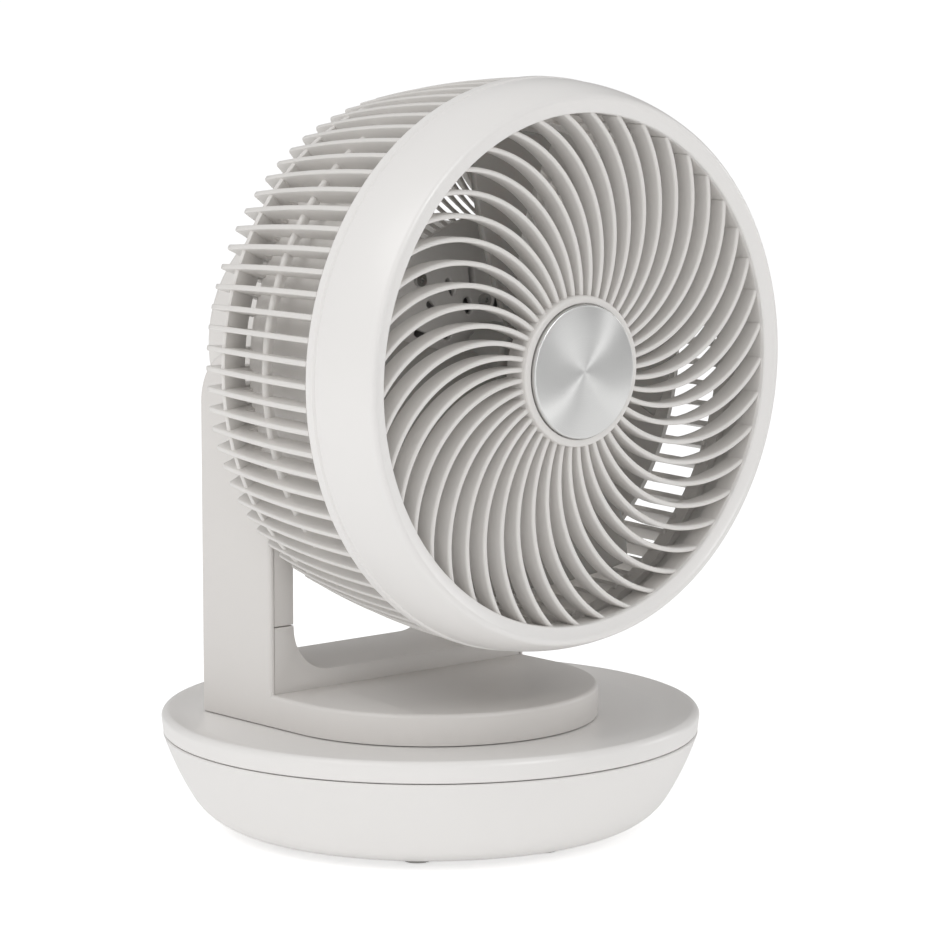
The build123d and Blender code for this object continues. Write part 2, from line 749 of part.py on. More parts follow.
with BuildPart() as front_grille:
    with BuildSketch(front_plane(opening_y + 2 + grille_rib_depth)):
        with PolarLocations(0, grille_rib_count, start_angle=-grille_rib_phase):
            add(grille_rib.sketch)
        Circle(grille_hub_radius)
    extrude(amount=grille_rib_depth)
    with BuildSketch(front_plane(opening_y + 2 + grille_rib_depth)):
        Circle(grille_rim_radius)
        Circle(grille_rim_radius - grille_rim_width, mode=Mode.SUBTRACT)
    extrude(amount=grille_rib_depth)
    with BuildSketch(front_plane(opening_y + 2)):
        Circle(grille_hub_radius)
    extrude(amount=2)
    fillet(front_grille.faces().sort_by(Axis.Y)[0].outer_wire().edges(), radius=1.2)
    # the hub is a cup that holds the cap in front and is open at the back
    with BuildSketch(front_plane(opening_y)):
        Circle(cap_radius + loose_clearance)
    extrude(amount=-(cap_thickness - cap_forward + 0.6), mode=Mode.SUBTRACT)
    with BuildSketch(front_plane(opening_y + 2 + grille_rib_depth)):
        Circle(grille_hub_radius - 2.5)
    extrude(amount=grille_rib_depth - 4, mode=Mode.SUBTRACT)
save(front_grille, "front_grille")

with BuildPart() as hub_cap:
    with BuildSketch(front_plane(opening_y + cap_thickness - cap_forward + 0.6)):
        Circle(cap_radius)
    extrude(amount=cap_thickness + 0.6)
    fillet(hub_cap.faces().sort_by(Axis.Y)[0].edges(), radius=0.8)
save(hub_cap, "hub_cap")

motor_screw_points = ring_points(motor_radius - 6, motor_screw_count, start=90)
housing_screw_points = ring_points(housing_radius - housing_wall - 4, housing_screw_count, start=45)

# fins start inside the ring's skirt and end in a tip; each turns inwards to the motor plate
collar_radius = crease_radius - ring_wall - loose_clearance
fin_root_y = band_back_y + loose_clearance
fin_middle_radius = (duct_radius + plate_radius) / 2
flare_radius = fin_tip_radius + flare_step
duct_slot_front = duct_back - duct_wall - duct_slot
with BuildPart() as fin:
    with BuildSketch(head_section):
        with BuildLine():
            outer = ThreePointArc(
                (fin_root_y, band_radius - fin_step),
                ((fin_root_y + fin_tip_back) / 2, (band_radius + fin_tip_radius) / 2 + fin_bulge),
                (fin_tip_back, fin_tip_radius),
            )
            back = Line(outer @ 1, (fin_tip_back - 1.5, fin_tip_radius - fin_depth - 2))
            dish = ThreePointArc(
                back @ 1,
                (fin_dish_back, fin_middle_radius),
                (plate_front + plate_thickness, plate_radius),
            )
            Polyline(
                dish @ 1,
                (plate_front + plate_thickness, plate_radius - 1),
                (plate_front, plate_radius - 1),
            )
            front = ThreePointArc(
                (plate_front, plate_radius - 1),
                (fin_dish_front, fin_middle_radius),
                (duct_back - 2, duct_radius - duct_wall - 1),
            )
            Polyline(
                front @ 1,
                (duct_back - 2, duct_radius - duct_wall / 2),
                (duct_slot_front - 2, duct_radius - duct_wall / 2),
                (duct_slot_front - 2, fin_tip_radius + 0.3 - fin_depth / 3),
                (fin_root_y, band_radius - fin_depth),
                (fin_root_y, band_radius - fin_step),
            )
        make_face()
    extrude(amount=fin_thickness / 2, both=True)

with BuildPart() as rear_cage:
    # duct, and behind its slot the flared rear edge
    with BuildSketch(head_section):
        with Locations(((duct_front + duct_slot_front) / 2, duct_radius - duct_wall / 2)):
            Rectangle(duct_slot_front - duct_front, duct_wall)
        with Locations((duct_back - duct_wall / 2, (flare_radius + duct_radius - duct_wall) / 2)):
            Rectangle(duct_wall, flare_radius - duct_radius + duct_wall)
    revolve(axis=head_axis)
    # middle hoop and the front collar that fits inside the ring's skirt
    with BuildSketch(head_section):
        with Locations((hoop_back, hoop_radius - hoop_depth / 2)):
            Rectangle(hoop_width, hoop_depth)
        with Locations((band_back_y - 1, collar_radius - collar_wall / 2)):
            Rectangle(collar_length, collar_wall)
    revolve(axis=head_axis)
    # motor plate with two rings of vent slots
    with BuildSketch(front_plane(plate_front + plate_thickness)):
        Circle(plate_radius)
        Circle(bearing_radius + 2, mode=Mode.SUBTRACT)
        with PolarLocations(plate_slot_radius, plate_slot_count, start_angle=90 + 180 / plate_slot_count):
            SlotOverall(plate_slot_length, plate_slot_width, mode=Mode.SUBTRACT)
        with PolarLocations(inner_slot_radius, inner_slot_count, start_angle=90 + 180 / inner_slot_count):
            SlotOverall(inner_slot_length, inner_slot_width, mode=Mode.SUBTRACT)
        with Locations(*motor_screw_points, *housing_screw_points):
            Circle(screw_radius + screw_clearance, mode=Mode.SUBTRACT)
    extrude(amount=plate_thickness)
    add([fin.part.rotate(head_axis, k * 360 / fin_count) for k in range(fin_count)])
save(rear_cage, "rear_cage")

trunnion_root_x = sqrt(housing_radius**2 - pivot_drop**2) - trunnion_root
boss_end_x = arm_inner_x - washer_thickness - loose_clearance
with BuildPart() as rear_housing:
    with BuildSketch(front_plane(plate_front + plate_thickness)):
        Circle(housing_radius)
    extrude(amount=-(housing_back - plate_front - plate_thickness))
    fillet(rear_housing.faces().sort_by(Axis.Y)[-1].edges(), radius=housing_edge)
    with BuildSketch(front_plane(plate_front + plate_thickness)):
        Circle(housing_radius - housing_wall)
    extrude(amount=-(housing_back - housing_wall - plate_front - plate_thickness), mode=Mode.SUBTRACT)
    # side bosses that carry the trunnions
    for side in (-1, 1):
        with BuildSketch(side_plane(side * trunnion_root_x, arm_back_offset, tilt_height)):
            Circle(pivot_boss_radius)
        extrude(amount=side * (boss_end_x - trunnion_root_x))
        with BuildSketch(side_plane(side * trunnion_root_x, arm_back_offset, tilt_height)):
            Circle(trunnion_radius)
        extrude(amount=side * (boss_end_x - trunnion_root_x), mode=Mode.SUBTRACT)
    # screw posts against the motor plate
    with BuildSketch(front_plane(plate_front + plate_thickness)):
        with Locations(*housing_screw_points):
            Circle(base_post_radius)
        Circle(housing_radius - housing_wall / 2, mode=Mode.INTERSECT)
    extrude(amount=-(housing_screw_grip + 3 * pilot_spare))
    with BuildSketch(front_plane(plate_front + plate_thickness)):
        with Locations(*housing_screw_points):
            Circle(screw_radius + run_clearance)
    extrude(amount=-(housing_screw_grip + pilot_spare), mode=Mode.SUBTRACT)
    # radial vents in the rear face
    with BuildSketch(front_plane(housing_back - housing_wall - 1)):
        with PolarLocations((vent_inner_radius + vent_outer_radius) / 2, vent_count):
            SlotOverall(vent_outer_radius - vent_inner_radius, vent_width)
    extrude(amount=-(housing_wall + 2), mode=Mode.SUBTRACT)
save(rear_housing, "rear_housing")

with BuildPart() as housing_screws:
    for x, z in housing_screw_points:
        seat = Plane((x, plate_front, head_height + z), x_dir=(1, 0, 0), z_dir=(0, 1, 0))
        add(screw(seat, plate_thickness + housing_screw_grip))
save(housing_screws, "housing_screws")

# ================================================================================================
# Tilt pivot pieces on the head
# ================================================================================================
clip_x = arm_inner_x + yoke_wall + bush_length / 2 + slide_clearance
pin_end_x = clip_x + clip_thickness + 1.0
for side, name in ((-1, "left"), (1, "right")):
    with BuildPart() as trunnion:
        with BuildSketch(side_plane(side * trunnion_root_x, arm_back_offset, tilt_height)):
            Circle(trunnion_radius)
            Circle(trunnion_bore_radius, mode=Mode.SUBTRACT)
        extrude(amount=side * (pin_end_x - trunnion_root_x))
        with BuildSketch(side_plane(side * clip_x, arm_back_offset, tilt_height)):
            Circle(trunnion_radius)
            Circle(trunnion_radius - clip_groove_depth, mode=Mode.SUBTRACT)
        extrude(amount=side * clip_thickness, mode=Mode.SUBTRACT)
    save(trunnion, f"trunnion_{name}")

with BuildPart() as tilt_clips:
    for side in (-1, 1):
        with BuildSketch(side_plane(side * (clip_x + slide_clearance), arm_back_offset, tilt_height)):
            Circle(trunnion_radius + clip_width)
            Circle(trunnion_radius - clip_groove_depth + run_clearance, mode=Mode.SUBTRACT)
            with Locations((0, -trunnion_radius)):
                Rectangle(trunnion_radius, 2 * trunnion_radius, mode=Mode.SUBTRACT)
        extrude(amount=side * (clip_thickness - 2 * slide_clearance))
save(tilt_clips, "tilt_clips")

with BuildPart() as friction_washers:
    for side in (-1, 1):
        with BuildSketch(side_plane(side * (boss_end_x + slide_clearance), arm_back_offset, tilt_height)):
            Circle(pivot_boss_radius - 1)
            Circle(trunnion_radius + run_clearance, mode=Mode.SUBTRACT)
        extrude(amount=side * washer_thickness)
save(friction_washers, "friction_washers")

# ================================================================================================
# Motor and impeller
# ================================================================================================
front_bearing = (motor_front, motor_front + bearing_width)
rear_bearing = (motor_back - motor_wall - bearing_width, motor_back - motor_wall)

with BuildPart() as motor_can:
    extrude(tube(front_plane(motor_front), motor_radius, bearing_radius), amount=-bearing_width)
    extrude(
        tube(front_plane(motor_front + bearing_width), motor_radius, motor_radius - motor_wall),
        amount=-(motor_length - bearing_width - motor_wall),
    )
    with BuildSketch(front_plane(motor_front)):
        Circle(motor_radius + 1)
        Circle(bearing_radius + 3, mode=Mode.SUBTRACT)
    extrude(amount=-2, mode=Mode.SUBTRACT)
    with BuildSketch(front_plane(motor_front)):
        with Locations(*motor_screw_points):
            Circle(base_post_radius)
    extrude(amount=-2)
    with BuildSketch(front_plane(motor_front)):
        with Locations(*motor_screw_points):
            Circle(screw_radius + run_clearance)
    extrude(amount=-bearing_width, mode=Mode.SUBTRACT)
save(motor_can, "motor_can")

with BuildPart() as motor_end_cap:
    extrude(tube(front_plane(motor_back - motor_wall), motor_radius, shaft_radius + 1), amount=-motor_wall)
    extrude(
        tube(front_plane(rear_bearing[0]), bearing_radius + 2, bearing_radius),
        amount=-bearing_width,
    )
save(motor_end_cap, "motor_end_cap")

with BuildPart() as motor_bearings:
    for start in (front_bearing[0], rear_bearing[0]):
        extrude(tube(front_plane(start), bearing_radius, shaft_radius + run_clearance), amount=-bearing_width)
save(motor_bearings, "motor_bearings")

rotor_front = motor_front + bearing_width + 3
with BuildPart() as motor_stator:
    extrude(
        tube(front_plane(rotor_front), motor_radius - motor_wall, rotor_radius + air_gap),
        amount=-stator_length,
    )
save(motor_stator, "motor_stator")

with BuildPart() as motor_rotor:
    extrude(tube(front_plane(rotor_front), rotor_radius, shaft_radius), amount=-stator_length)
    chamfer(motor_rotor.edges().filter_by(GeomType.CIRCLE), length=0.5)
save(motor_rotor, "motor_rotor")

with BuildPart() as motor_screws:
    for x, z in motor_screw_points:
        seat = Plane((x, plate_front, head_height + z), x_dir=(1, 0, 0), z_dir=(0, 1, 0))
        add(screw(seat, plate_thickness + motor_screw_grip))
save(motor_screws, "motor_screws")

with BuildPart() as motor_shaft:
    with BuildSketch(front_plane(motor_back - motor_wall)):
        Circle(shaft_radius)
    extrude(amount=motor_back - motor_wall - shaft_front)
    chamfer(motor_shaft.faces().sort_by(Axis.Y)[0].edges(), length=0.6)
save(motor_shaft, "motor_shaft")

blade_sections = (
    # share of the span, chord, thickness, pitch from the disc's plane, skew about the axis
    (0.00, 28.0, 4.0, 46.0, -20.0),
    (0.30, 46.0, 3.2, 38.0, -16.5),
    (0.65, 70.0, 2.6, 30.0, -10.0),
    (1.06, 92.0, 2.2, 24.0, -3.0),
)
blade_middle = (impeller_front + impeller_back) / 2
with BuildPart() as blade:
    for span, chord, thickness, pitch_angle, skew in blade_sections:
        radius = impeller_hub_radius - 4 + span * (impeller_radius - impeller_hub_radius + 4)
        turn = radians(skew)
        radial = (sin(turn), 0, cos(turn))
        tangent = (cos(turn), 0, -sin(turn))
        origin = (radius * sin(turn), blade_middle, head_height + radius * cos(turn))
        with BuildSketch(Plane(origin, x_dir=tangent, z_dir=radial)):
            Rectangle(chord, thickness, rotation=pitch_angle)
    loft()
    with BuildSketch(front_plane(impeller_back)):
        Circle(impeller_radius)
    extrude(amount=impeller_back - impeller_front, mode=Mode.INTERSECT)

with BuildPart() as impeller:
    with BuildSketch(front_plane(impeller_back)):
        Circle(impeller_hub_radius)
    extrude(amount=impeller_back - hub_front)
    fillet(impeller.faces().sort_by(Axis.Y)[0].edges(), radius=3)
    add([blade.part.rotate(head_axis, k * 360 / blade_count) for k in range(blade_count)])
    with BuildSketch(front_plane(impeller_back)):
        Circle(shaft_radius)
    extrude(amount=60, both=True, mode=Mode.SUBTRACT)
save(impeller, "impeller")

with BuildPart() as impeller_nut:
    with BuildSketch(front_plane(hub_front)):
        Circle(nut_radius)
    extrude(amount=nut_length)
    fillet(impeller_nut.faces().sort_by(Axis.Y)[0].edges(), radius=2)
    with BuildSketch(front_plane(hub_front)):
        Circle(shaft_radius)
    extrude(amount=nut_length - 2, mode=Mode.SUBTRACT)
save(impeller_nut, "impeller_nut")
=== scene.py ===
"""Finish, light and camera for a desktop air circulator, built round its CAD frame.

Metres, +Z up. The fan blows towards -Y, and the base axis passes through the origin.
"""

import json
from math import atan2, cos, degrees, hypot, pi, radians, sin, sqrt

import bmesh
import bpy
from bpy.props import FloatProperty, FloatVectorProperty, IntProperty, PointerProperty
from mathutils import Matrix, Vector


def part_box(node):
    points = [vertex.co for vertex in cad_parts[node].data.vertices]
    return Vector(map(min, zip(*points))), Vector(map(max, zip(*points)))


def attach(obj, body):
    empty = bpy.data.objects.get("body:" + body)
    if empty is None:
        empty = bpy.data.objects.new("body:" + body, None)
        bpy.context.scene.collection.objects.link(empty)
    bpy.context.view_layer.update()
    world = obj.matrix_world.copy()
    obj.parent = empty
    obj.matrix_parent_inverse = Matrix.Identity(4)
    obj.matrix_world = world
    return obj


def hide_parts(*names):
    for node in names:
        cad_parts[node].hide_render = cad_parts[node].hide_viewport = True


bl_info = {
    "name": "Desktop Air Circulator",
    "version": (1, 0, 0),
    "blender": (4, 5, 0),
    "location": "View3D > Sidebar > Air Circulator",
    "description": "Builds the visible pieces, finishes and stage of a desktop air circulator",
    "category": "Object",
}

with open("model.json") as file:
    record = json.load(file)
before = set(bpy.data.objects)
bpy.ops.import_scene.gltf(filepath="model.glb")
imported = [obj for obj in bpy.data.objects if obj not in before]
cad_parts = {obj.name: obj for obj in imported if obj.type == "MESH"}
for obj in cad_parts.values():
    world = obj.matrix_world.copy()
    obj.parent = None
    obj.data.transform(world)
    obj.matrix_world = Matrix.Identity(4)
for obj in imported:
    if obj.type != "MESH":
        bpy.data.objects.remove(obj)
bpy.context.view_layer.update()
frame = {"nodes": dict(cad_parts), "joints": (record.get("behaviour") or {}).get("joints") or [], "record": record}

bowl_low, bowl_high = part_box("base_shell")
cover_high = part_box("base_cover")[1]
ring_low, ring_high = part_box("front_ring")
cap_low, cap_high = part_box("hub_cap")
cage_low, cage_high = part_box("rear_cage")
housing_low, housing_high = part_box("rear_housing")
impeller_low, impeller_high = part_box("impeller")
nut_low, nut_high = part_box("impeller_nut")
socket_low, socket_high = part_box("power_socket")
tilt_point = Vector(next(joint["pos_m"] for joint in frame["joints"] if joint["name"] == "tilt"))
head_height = (ring_low.z + ring_high.z) / 2
ring_radius = (ring_high.x - ring_low.x) / 2
WHITE = (1.0, 1.0, 1.0, 1.0)
YOKE_NODES = ("yoke_shell", "yoke_bracket", "inner_cover_left", "inner_cover_right")


# ---- sizes and colours -------------------------------------------------------------------------


def length(label, default):
    """A size in metres that the sidebar shows."""
    return FloatProperty(name=label, default=default, min=0.0, precision=5, unit="LENGTH")


def place_y(label, default):
    """A place along Y in metres, ahead of or behind the base axis."""
    return FloatProperty(name=label, default=default, precision=5, unit="LENGTH")


def number(label, default):
    """A count of pieces or holes."""
    return IntProperty(name=label, default=default, min=2)


def watts(label, default):
    """The power of a lamp."""
    return FloatProperty(name=label, default=default, min=0.0, unit="POWER")


def strength(label, default):
    """A number that isn't a length, angle or power."""
    return FloatProperty(name=label, default=default, min=0.0)


def angle(label, degrees):
    """A turn that the sidebar shows in degrees."""
    return FloatProperty(name=label, default=radians(degrees), unit="ROTATION")


def colour(label, default):
    """A linear colour."""
    return FloatVectorProperty(name=label, default=default, size=3, min=0.0, max=1.0, subtype="COLOR")


class FanBaseSizes(bpy.types.PropertyGroup):
    """Base bowl and its dished cover."""

    flat_radius: length("Radius of the flat underside", 0.084)
    corner_radius: length("Radius of the bowl's lower corner", 0.0286)
    corner_turn: angle("How far the lower corner turns up", 60.0)
    side_bulge: length("How far the side swells between corner and seam", 0.0006)
    wall: length("Wall thickness of the mouldings", 0.0025)
    edge_round: length("Rounding along the seam", 0.0005)
    rim_width: length("Width of the cover's rounded rim", 0.0028)
    dish_depth: length("How far the cover dips inside its rim", 0.0033)
    dish_radius: length("Radius where the cover is flat", 0.1058)
    spindle_radius: length("Radius of the hole for the turntable's spindle", 0.022)
    lip_step: length("How far the cover's lip stands inside the bowl", 0.0048)
    lip_depth: length("How far the cover's lip reaches below the seam", 0.005)
    skirt_radius: length("Skirt under the turntable", 0.0751)
    skirt_drop: length("Depth of the skirt below the turntable", 0.0005)


class FanRingSizes(bpy.types.PropertyGroup):
    """Front ring of the head."""

    opening_radius: length("Radius of the opening that the grille fills", 0.11075)
    crest_forward: length("How far the crest stands before the opening", 0.0016)
    crest_radius: length("Radius of the foremost line of the ring", 0.117)
    crease_radius: length("Radius of the groove before the rear band", 0.1246)
    crease_back: length("Distance of the groove behind the opening", 0.0283)
    wall: length("Wall thickness of the ring", 0.003)


class FanGrilleSizes(bpy.types.PropertyGroup):
    """Swirled front grille with its hub and cap."""

    rib_count: number("Number of curved ribs", 45)
    rib_width: length("Width of a rib seen from the front", 0.0022)
    rib_depth: length("Depth of a rib from front to back", 0.010)
    rib_bend: length("Radius of a rib's curve", 0.0635)
    rib_phase: angle("Turn of the whole rib pattern", 1.1)
    hub_radius: length("Radius of the hub that the ribs start from", 0.0327)
    rim_width: length("Width of the ring that ties the rib ends", 0.0025)
    rib_recess: length("How far the ribs stand behind the opening", 0.002)
    cap_round: length("Rounding of the cap's edge", 0.0009)


class FanCageSizes(bpy.types.PropertyGroup):
    """Finned rear of the head."""

    fin_count: number("Number of radial fins", 80)
    fin_thickness: length("Thickness of a fin", 0.0024)
    fin_round: length("Rounding of a fin's edges", 0.0006)
    fin_tip_radius: length("Radius of the fins' rear tips", 0.1144)
    fin_depth: length("Depth of a fin at the ring", 0.0095)
    duct_radius: length("Outer radius of the duct", 0.107)
    duct_wall: length("Wall thickness of the duct", 0.0025)
    duct_slot: length("Open slot between the duct and its flared edge", 0.006)
    duct_front: place_y("Y of the duct's front edge", -0.050)
    duct_back: place_y("Y of the duct's flare", 0.003)
    hoop_radius: length("Outer radius of the tie hoop", 0.118)
    hoop_back: place_y("Y of the tie hoop", -0.0289)
    plate_radius: length("Radius of the motor plate", 0.063)
    plate_front: place_y("Y of the motor plate's front", -0.036)
    plate_thickness: length("Thickness of the motor plate", 0.003)
    slot_count: number("Outer slots in the motor plate", 18)
    inner_slot_count: number("Inner slots in the motor plate", 9)
    housing_edge: length("Rounding of the housing's rear edge", 0.007)
    vent_count: number("Radial vents in the housing", 36)


class FanBladeSizes(bpy.types.PropertyGroup):
    """Impeller."""

    blade_count: number("Number of blades", 4)
    hub_radius: length("Radius of the hub", 0.017)
    root_chord: length("Chord at the hub", 0.028)
    tip_chord: length("Chord at the tip", 0.089)
    root_pitch: angle("Pitch from the disc's plane at the hub", 46.0)
    tip_pitch: angle("Pitch from the disc's plane at the tip", 24.0)
    blade_phase: angle("Turn of the blades about the shaft at the hub", -20.0)
    sweep: angle("How far the tip turns about the shaft", 16.0)
    thickness: length("Thickness of a blade", 0.0024)


class FanFinishes(bpy.types.PropertyGroup):
    """Colours of the finishes."""

    ring: colour("Warm white of the front ring and base", (0.87, 0.853, 0.835))
    yoke: colour("Warm white of the yoke and turntable", (0.765, 0.74, 0.715))
    # painted shade: the grille and fins take the ring's warm white made darker, so their colour holds shade
    cage: colour("Warm white of the grille and fins, darkened by painted shade", (0.80, 0.778, 0.752))
    # painted shade: the impeller's light plastic is coloured mid grey to stand for the shade inside the head
    blade: colour("Light impeller plastic greyed by painted shade", (0.40, 0.392, 0.375))
    cap: colour("Brushed metal of the hub cap", (0.78, 0.78, 0.77))
    steel: colour("Plated steel of screws and motor", (0.56, 0.56, 0.55))
    rubber: colour("Feet", (0.52, 0.51, 0.49))
    acetal: colour("Bushes, washers and gears", (0.78, 0.78, 0.74))
    winding: colour("Varnished windings", (0.30, 0.11, 0.04))
    board: colour("Control board", (0.01, 0.10, 0.04))
    socket: colour("Power socket", (0.02, 0.02, 0.02))


class FanStageSettings(bpy.types.PropertyGroup):
    """Floor, light and camera."""

    camera_azimuth: angle("Turn of the camera round the fan", -41.14)
    camera_elevation: angle("Height of the camera above the horizon", 8.3)
    camera_distance: length("Distance from the aim point", 1.8258)
    aim: FloatVectorProperty(
        name="Point the camera looks at", default=(0.0143, -0.0125, 0.1600), precision=5, unit="LENGTH"
    )
    lens: strength("Focal length in millimetres on a 36 mm sensor", 154.7)
    floor_size: length("Side of the floor", 60.0)
    key_power: watts("Key light in watts", 10.0)
    fill_power: watts("Fill light in watts", 1.8)
    side_power: watts("Low light at the right", 1.2)
    front_power: watts("Low light in front", 1.0)
    floor_glow: strength("Lifts the floor to plain white", 0.50)
    glint_power: watts("Light in front, seen only in reflections", 12.0)
    low_glint_power: watts("Light at the right, seen only in reflections", 3.6)
    floor_bounce: strength("Part of the glow that lights the fan", 0.16)
    sky: strength("Strength of the even light", 0.66)
    reflected_sky: strength("Strength of the even light in reflections", 0.18)


# ---- outlines ----------------------------------------------------------------------------------


def arc_through(start, middle, end, steps=12):
    """Points of the circular arc through three points, ends included."""
    (ax, ay), (bx, by), (cx, cy) = start, middle, end
    twice_area = 2 * (ax * (by - cy) + bx * (cy - ay) + cx * (ay - by))
    if abs(twice_area) < 1e-12:
        return [start, end]
    a2, b2, c2 = ax * ax + ay * ay, bx * bx + by * by, cx * cx + cy * cy
    ox = (a2 * (by - cy) + b2 * (cy - ay) + c2 * (ay - by)) / twice_area
    oy = (a2 * (cx - bx) + b2 * (ax - cx) + c2 * (bx - ax)) / twice_area
    radius = hypot(ax - ox, ay - oy)
    first = atan2(ay - oy, ax - ox)
    middle_turn = (atan2(by - oy, bx - ox) - first) % (2 * pi)
    turn = (atan2(cy - oy, cx - ox) - first) % (2 * pi)
    if middle_turn > turn:
        turn -= 2 * pi
    return [
        (ox + radius * cos(first + turn * k / steps), oy + radius * sin(first + turn * k / steps))
        for k in range(steps + 1)
    ]


def arc_about(centre, radius, first, last, steps=10):
    """Points of an arc about a centre, from one angle in degrees to another."""
    turns = [radians(first + (last - first) * k / steps) for k in range(steps + 1)]
    return [(centre[0] + radius * cos(turn), centre[1] + radius * sin(turn)) for turn in turns]


def circle(radius, steps=96, centre=(0.0, 0.0)):
    """Closed circle as points, without repeating the first."""
    return arc_about(centre, radius, 0, 360, steps)[:-1]


def slot_outline(radius, turn, slot_length, width, steps=8):
    """Round-ended slot lying along the radius at a turn in radians."""
    half, end = width / 2, slot_length / 2 - width / 2
    points = arc_about((end, 0), half, -90, 90, steps) + arc_about((-end, 0), half, 90, 270, steps)
    return [
        ((radius + x) * cos(turn) - y * sin(turn), (radius + x) * sin(turn) + y * cos(turn))
        for x, y in points
    ]


# ---- making meshes -----------------------------------------------------------------------------


def finish_mesh(name, mesh, sharp=32):
    """Link a mesh as an object with smooth faces and sharp edges above an angle in degrees."""
    mesh.shade_smooth()
    mesh.set_sharp_from_angle(angle=radians(sharp))
    piece = bpy.data.objects.new(name, mesh)
    bpy.context.scene.collection.objects.link(piece)
    return piece


def from_bmesh(name, shape, sharp=32):
    """Turn a bmesh into an object."""
    bmesh.ops.recalc_face_normals(shape, faces=shape.faces)
    mesh = bpy.data.meshes.new(name)
    shape.to_mesh(mesh)
    shape.free()
    return finish_mesh(name, mesh, sharp)


def settle(piece):
    """Apply a piece's modifiers."""
    evaluated = piece.evaluated_get(bpy.context.evaluated_depsgraph_get())
    mesh = bpy.data.meshes.new_from_object(evaluated)
    piece.modifiers.clear()
    piece.data = mesh
    return piece


def turned_about_base(name, outline, closed=True, steps=192):
    """Turn an outline of (radius, height) points about the base axis."""
    return turned(name, outline, lambda r, a, t: (r * cos(t), r * sin(t), a), closed, steps)


def turned_about_head(name, outline, closed=True, steps=192):
    """Turn an outline of (y, radius) points about the head's axis."""
    pairs = [(radius, y) for y, radius in outline]
    return turned(name, pairs, lambda r, a, t: (r * cos(t), a, head_height + r * sin(t)), closed, steps)


def skin(shape, rows, closed):
    """Join each row of vertices to the next with faces; closed also joins a row's end to its start."""
    for near, far in zip(rows, rows[1:]):
        for k in range(0 if closed else 1, len(near)):
            shape.faces.new((near[k - 1], near[k], far[k], far[k - 1]))


def turned(name, pairs, place, closed, steps):
    """Sweep (radius, along) pairs round an axis; place gives the point at a turn."""
    shape = bmesh.new()
    rings = []
    for step in range(steps):
        turn = 2 * pi * step / steps
        rings.append([shape.verts.new(place(radius, along, turn)) for radius, along in pairs])
    skin(shape, [*rings, rings[0]], closed)
    bmesh.ops.remove_doubles(shape, verts=shape.verts, dist=1e-7)
    return from_bmesh(name, shape)


def cut_sheet(name, outlines, thickness, rounding, matrix):
    """Flat sheet with holes and rounded edges: the first outline is the edge and the rest are holes."""
    curve = bpy.data.curves.new(name, "CURVE")
    curve.dimensions = "2D"
    curve.fill_mode = "BOTH"
    curve.extrude = thickness / 2 - rounding
    curve.bevel_depth = rounding
    curve.bevel_resolution = 2
    curve.offset = -rounding
    for outline in outlines:
        spline = curve.splines.new("POLY")
        spline.points.add(len(outline) - 1)
        for point, (x, y) in zip(spline.points, outline):
            point.co = (x, y, 0.0, 1.0)
        spline.use_cyclic_u = True
    holder = bpy.data.objects.new(name, curve)
    bpy.context.scene.collection.objects.link(holder)
    mesh = bpy.data.meshes.new_from_object(holder.evaluated_get(bpy.context.evaluated_depsgraph_get()))
    bpy.data.objects.remove(holder)
    bpy.data.curves.remove(curve)
    mesh.transform(matrix)
    return mesh


def facing_front(y):
    """Matrix of a sheet square to the head's axis, with local x, y as the row's X and Z."""
    return Matrix.Translation((0, y, head_height)) @ Matrix.Rotation(pi / 2, 4, "X")


def about_head(turn):
    """Turn about the head's axis."""
    centre = Matrix.Translation((0, 0, head_height))
    return centre @ Matrix.Rotation(turn, 4, "Y") @ centre.inverted()


def copies_about_head(name, mesh, count, phase=0.0, sharp=32):
    """Even copies of a mesh about the head's axis, as one object."""
    shape = bmesh.new()
    for k in range(count):
        before = len(shape.verts)
        shape.from_mesh(mesh)
        shape.verts.ensure_lookup_table()
        bmesh.ops.transform(shape, matrix=about_head(phase + 2 * pi * k / count), verts=shape.verts[before:])
    bpy.data.meshes.remove(mesh)
    return from_bmesh(name, shape, sharp)


def finish_piece(piece, body, slot, *nodes):
    """Give a piece its body and a record slot's material, and hide the CAD nodes it stands for."""
    coat(piece, slot)
    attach(piece, body)
    if nodes:
        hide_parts(*nodes)


def coat(piece, slot):
    """Give a piece the material of a record slot."""
    piece.data.materials.clear()
    piece.data.materials.append(FINISHES[slot]())


# ---- shared shader effects ---------------------------------------------------------------------


def new_group(name, inputs, outputs):
    """Shader node group with inputs (name: value) and outputs (name: type), and its two end nodes."""
    kinds = {1: "Float", 3: "Vector", 4: "Color"}
    group = bpy.data.node_groups.new(name, "ShaderNodeTree")
    for label, value in inputs.items():
        kind = "NodeSocket" + kinds[len(value) if isinstance(value, tuple) else 1]
        group.interface.new_socket(name=label, in_out="INPUT", socket_type=kind).default_value = value
    for label, kind in outputs.items():
        group.interface.new_socket(name=label, in_out="OUTPUT", socket_type="NodeSocket" + kind)
    return group, group.nodes.new("NodeGroupInput").outputs, group.nodes.new("NodeGroupOutput")


def feed(tree, made, inputs):
    """Fill a node's inputs with values, or with links from other nodes' outputs."""
    for key, value in inputs.items():
        if isinstance(value, bpy.types.NodeSocket):
            tree.links.new(value, made.inputs[key])
        else:
            made.inputs[key].default_value = value


def node(tree, kind, inputs=None, **settings):
    """Add a node, set its properties and feed its inputs."""
    made = tree.nodes.new("ShaderNode" + kind)
    for key, value in settings.items():
        setattr(made, key, value)
    feed(tree, made, inputs or {})
    return made


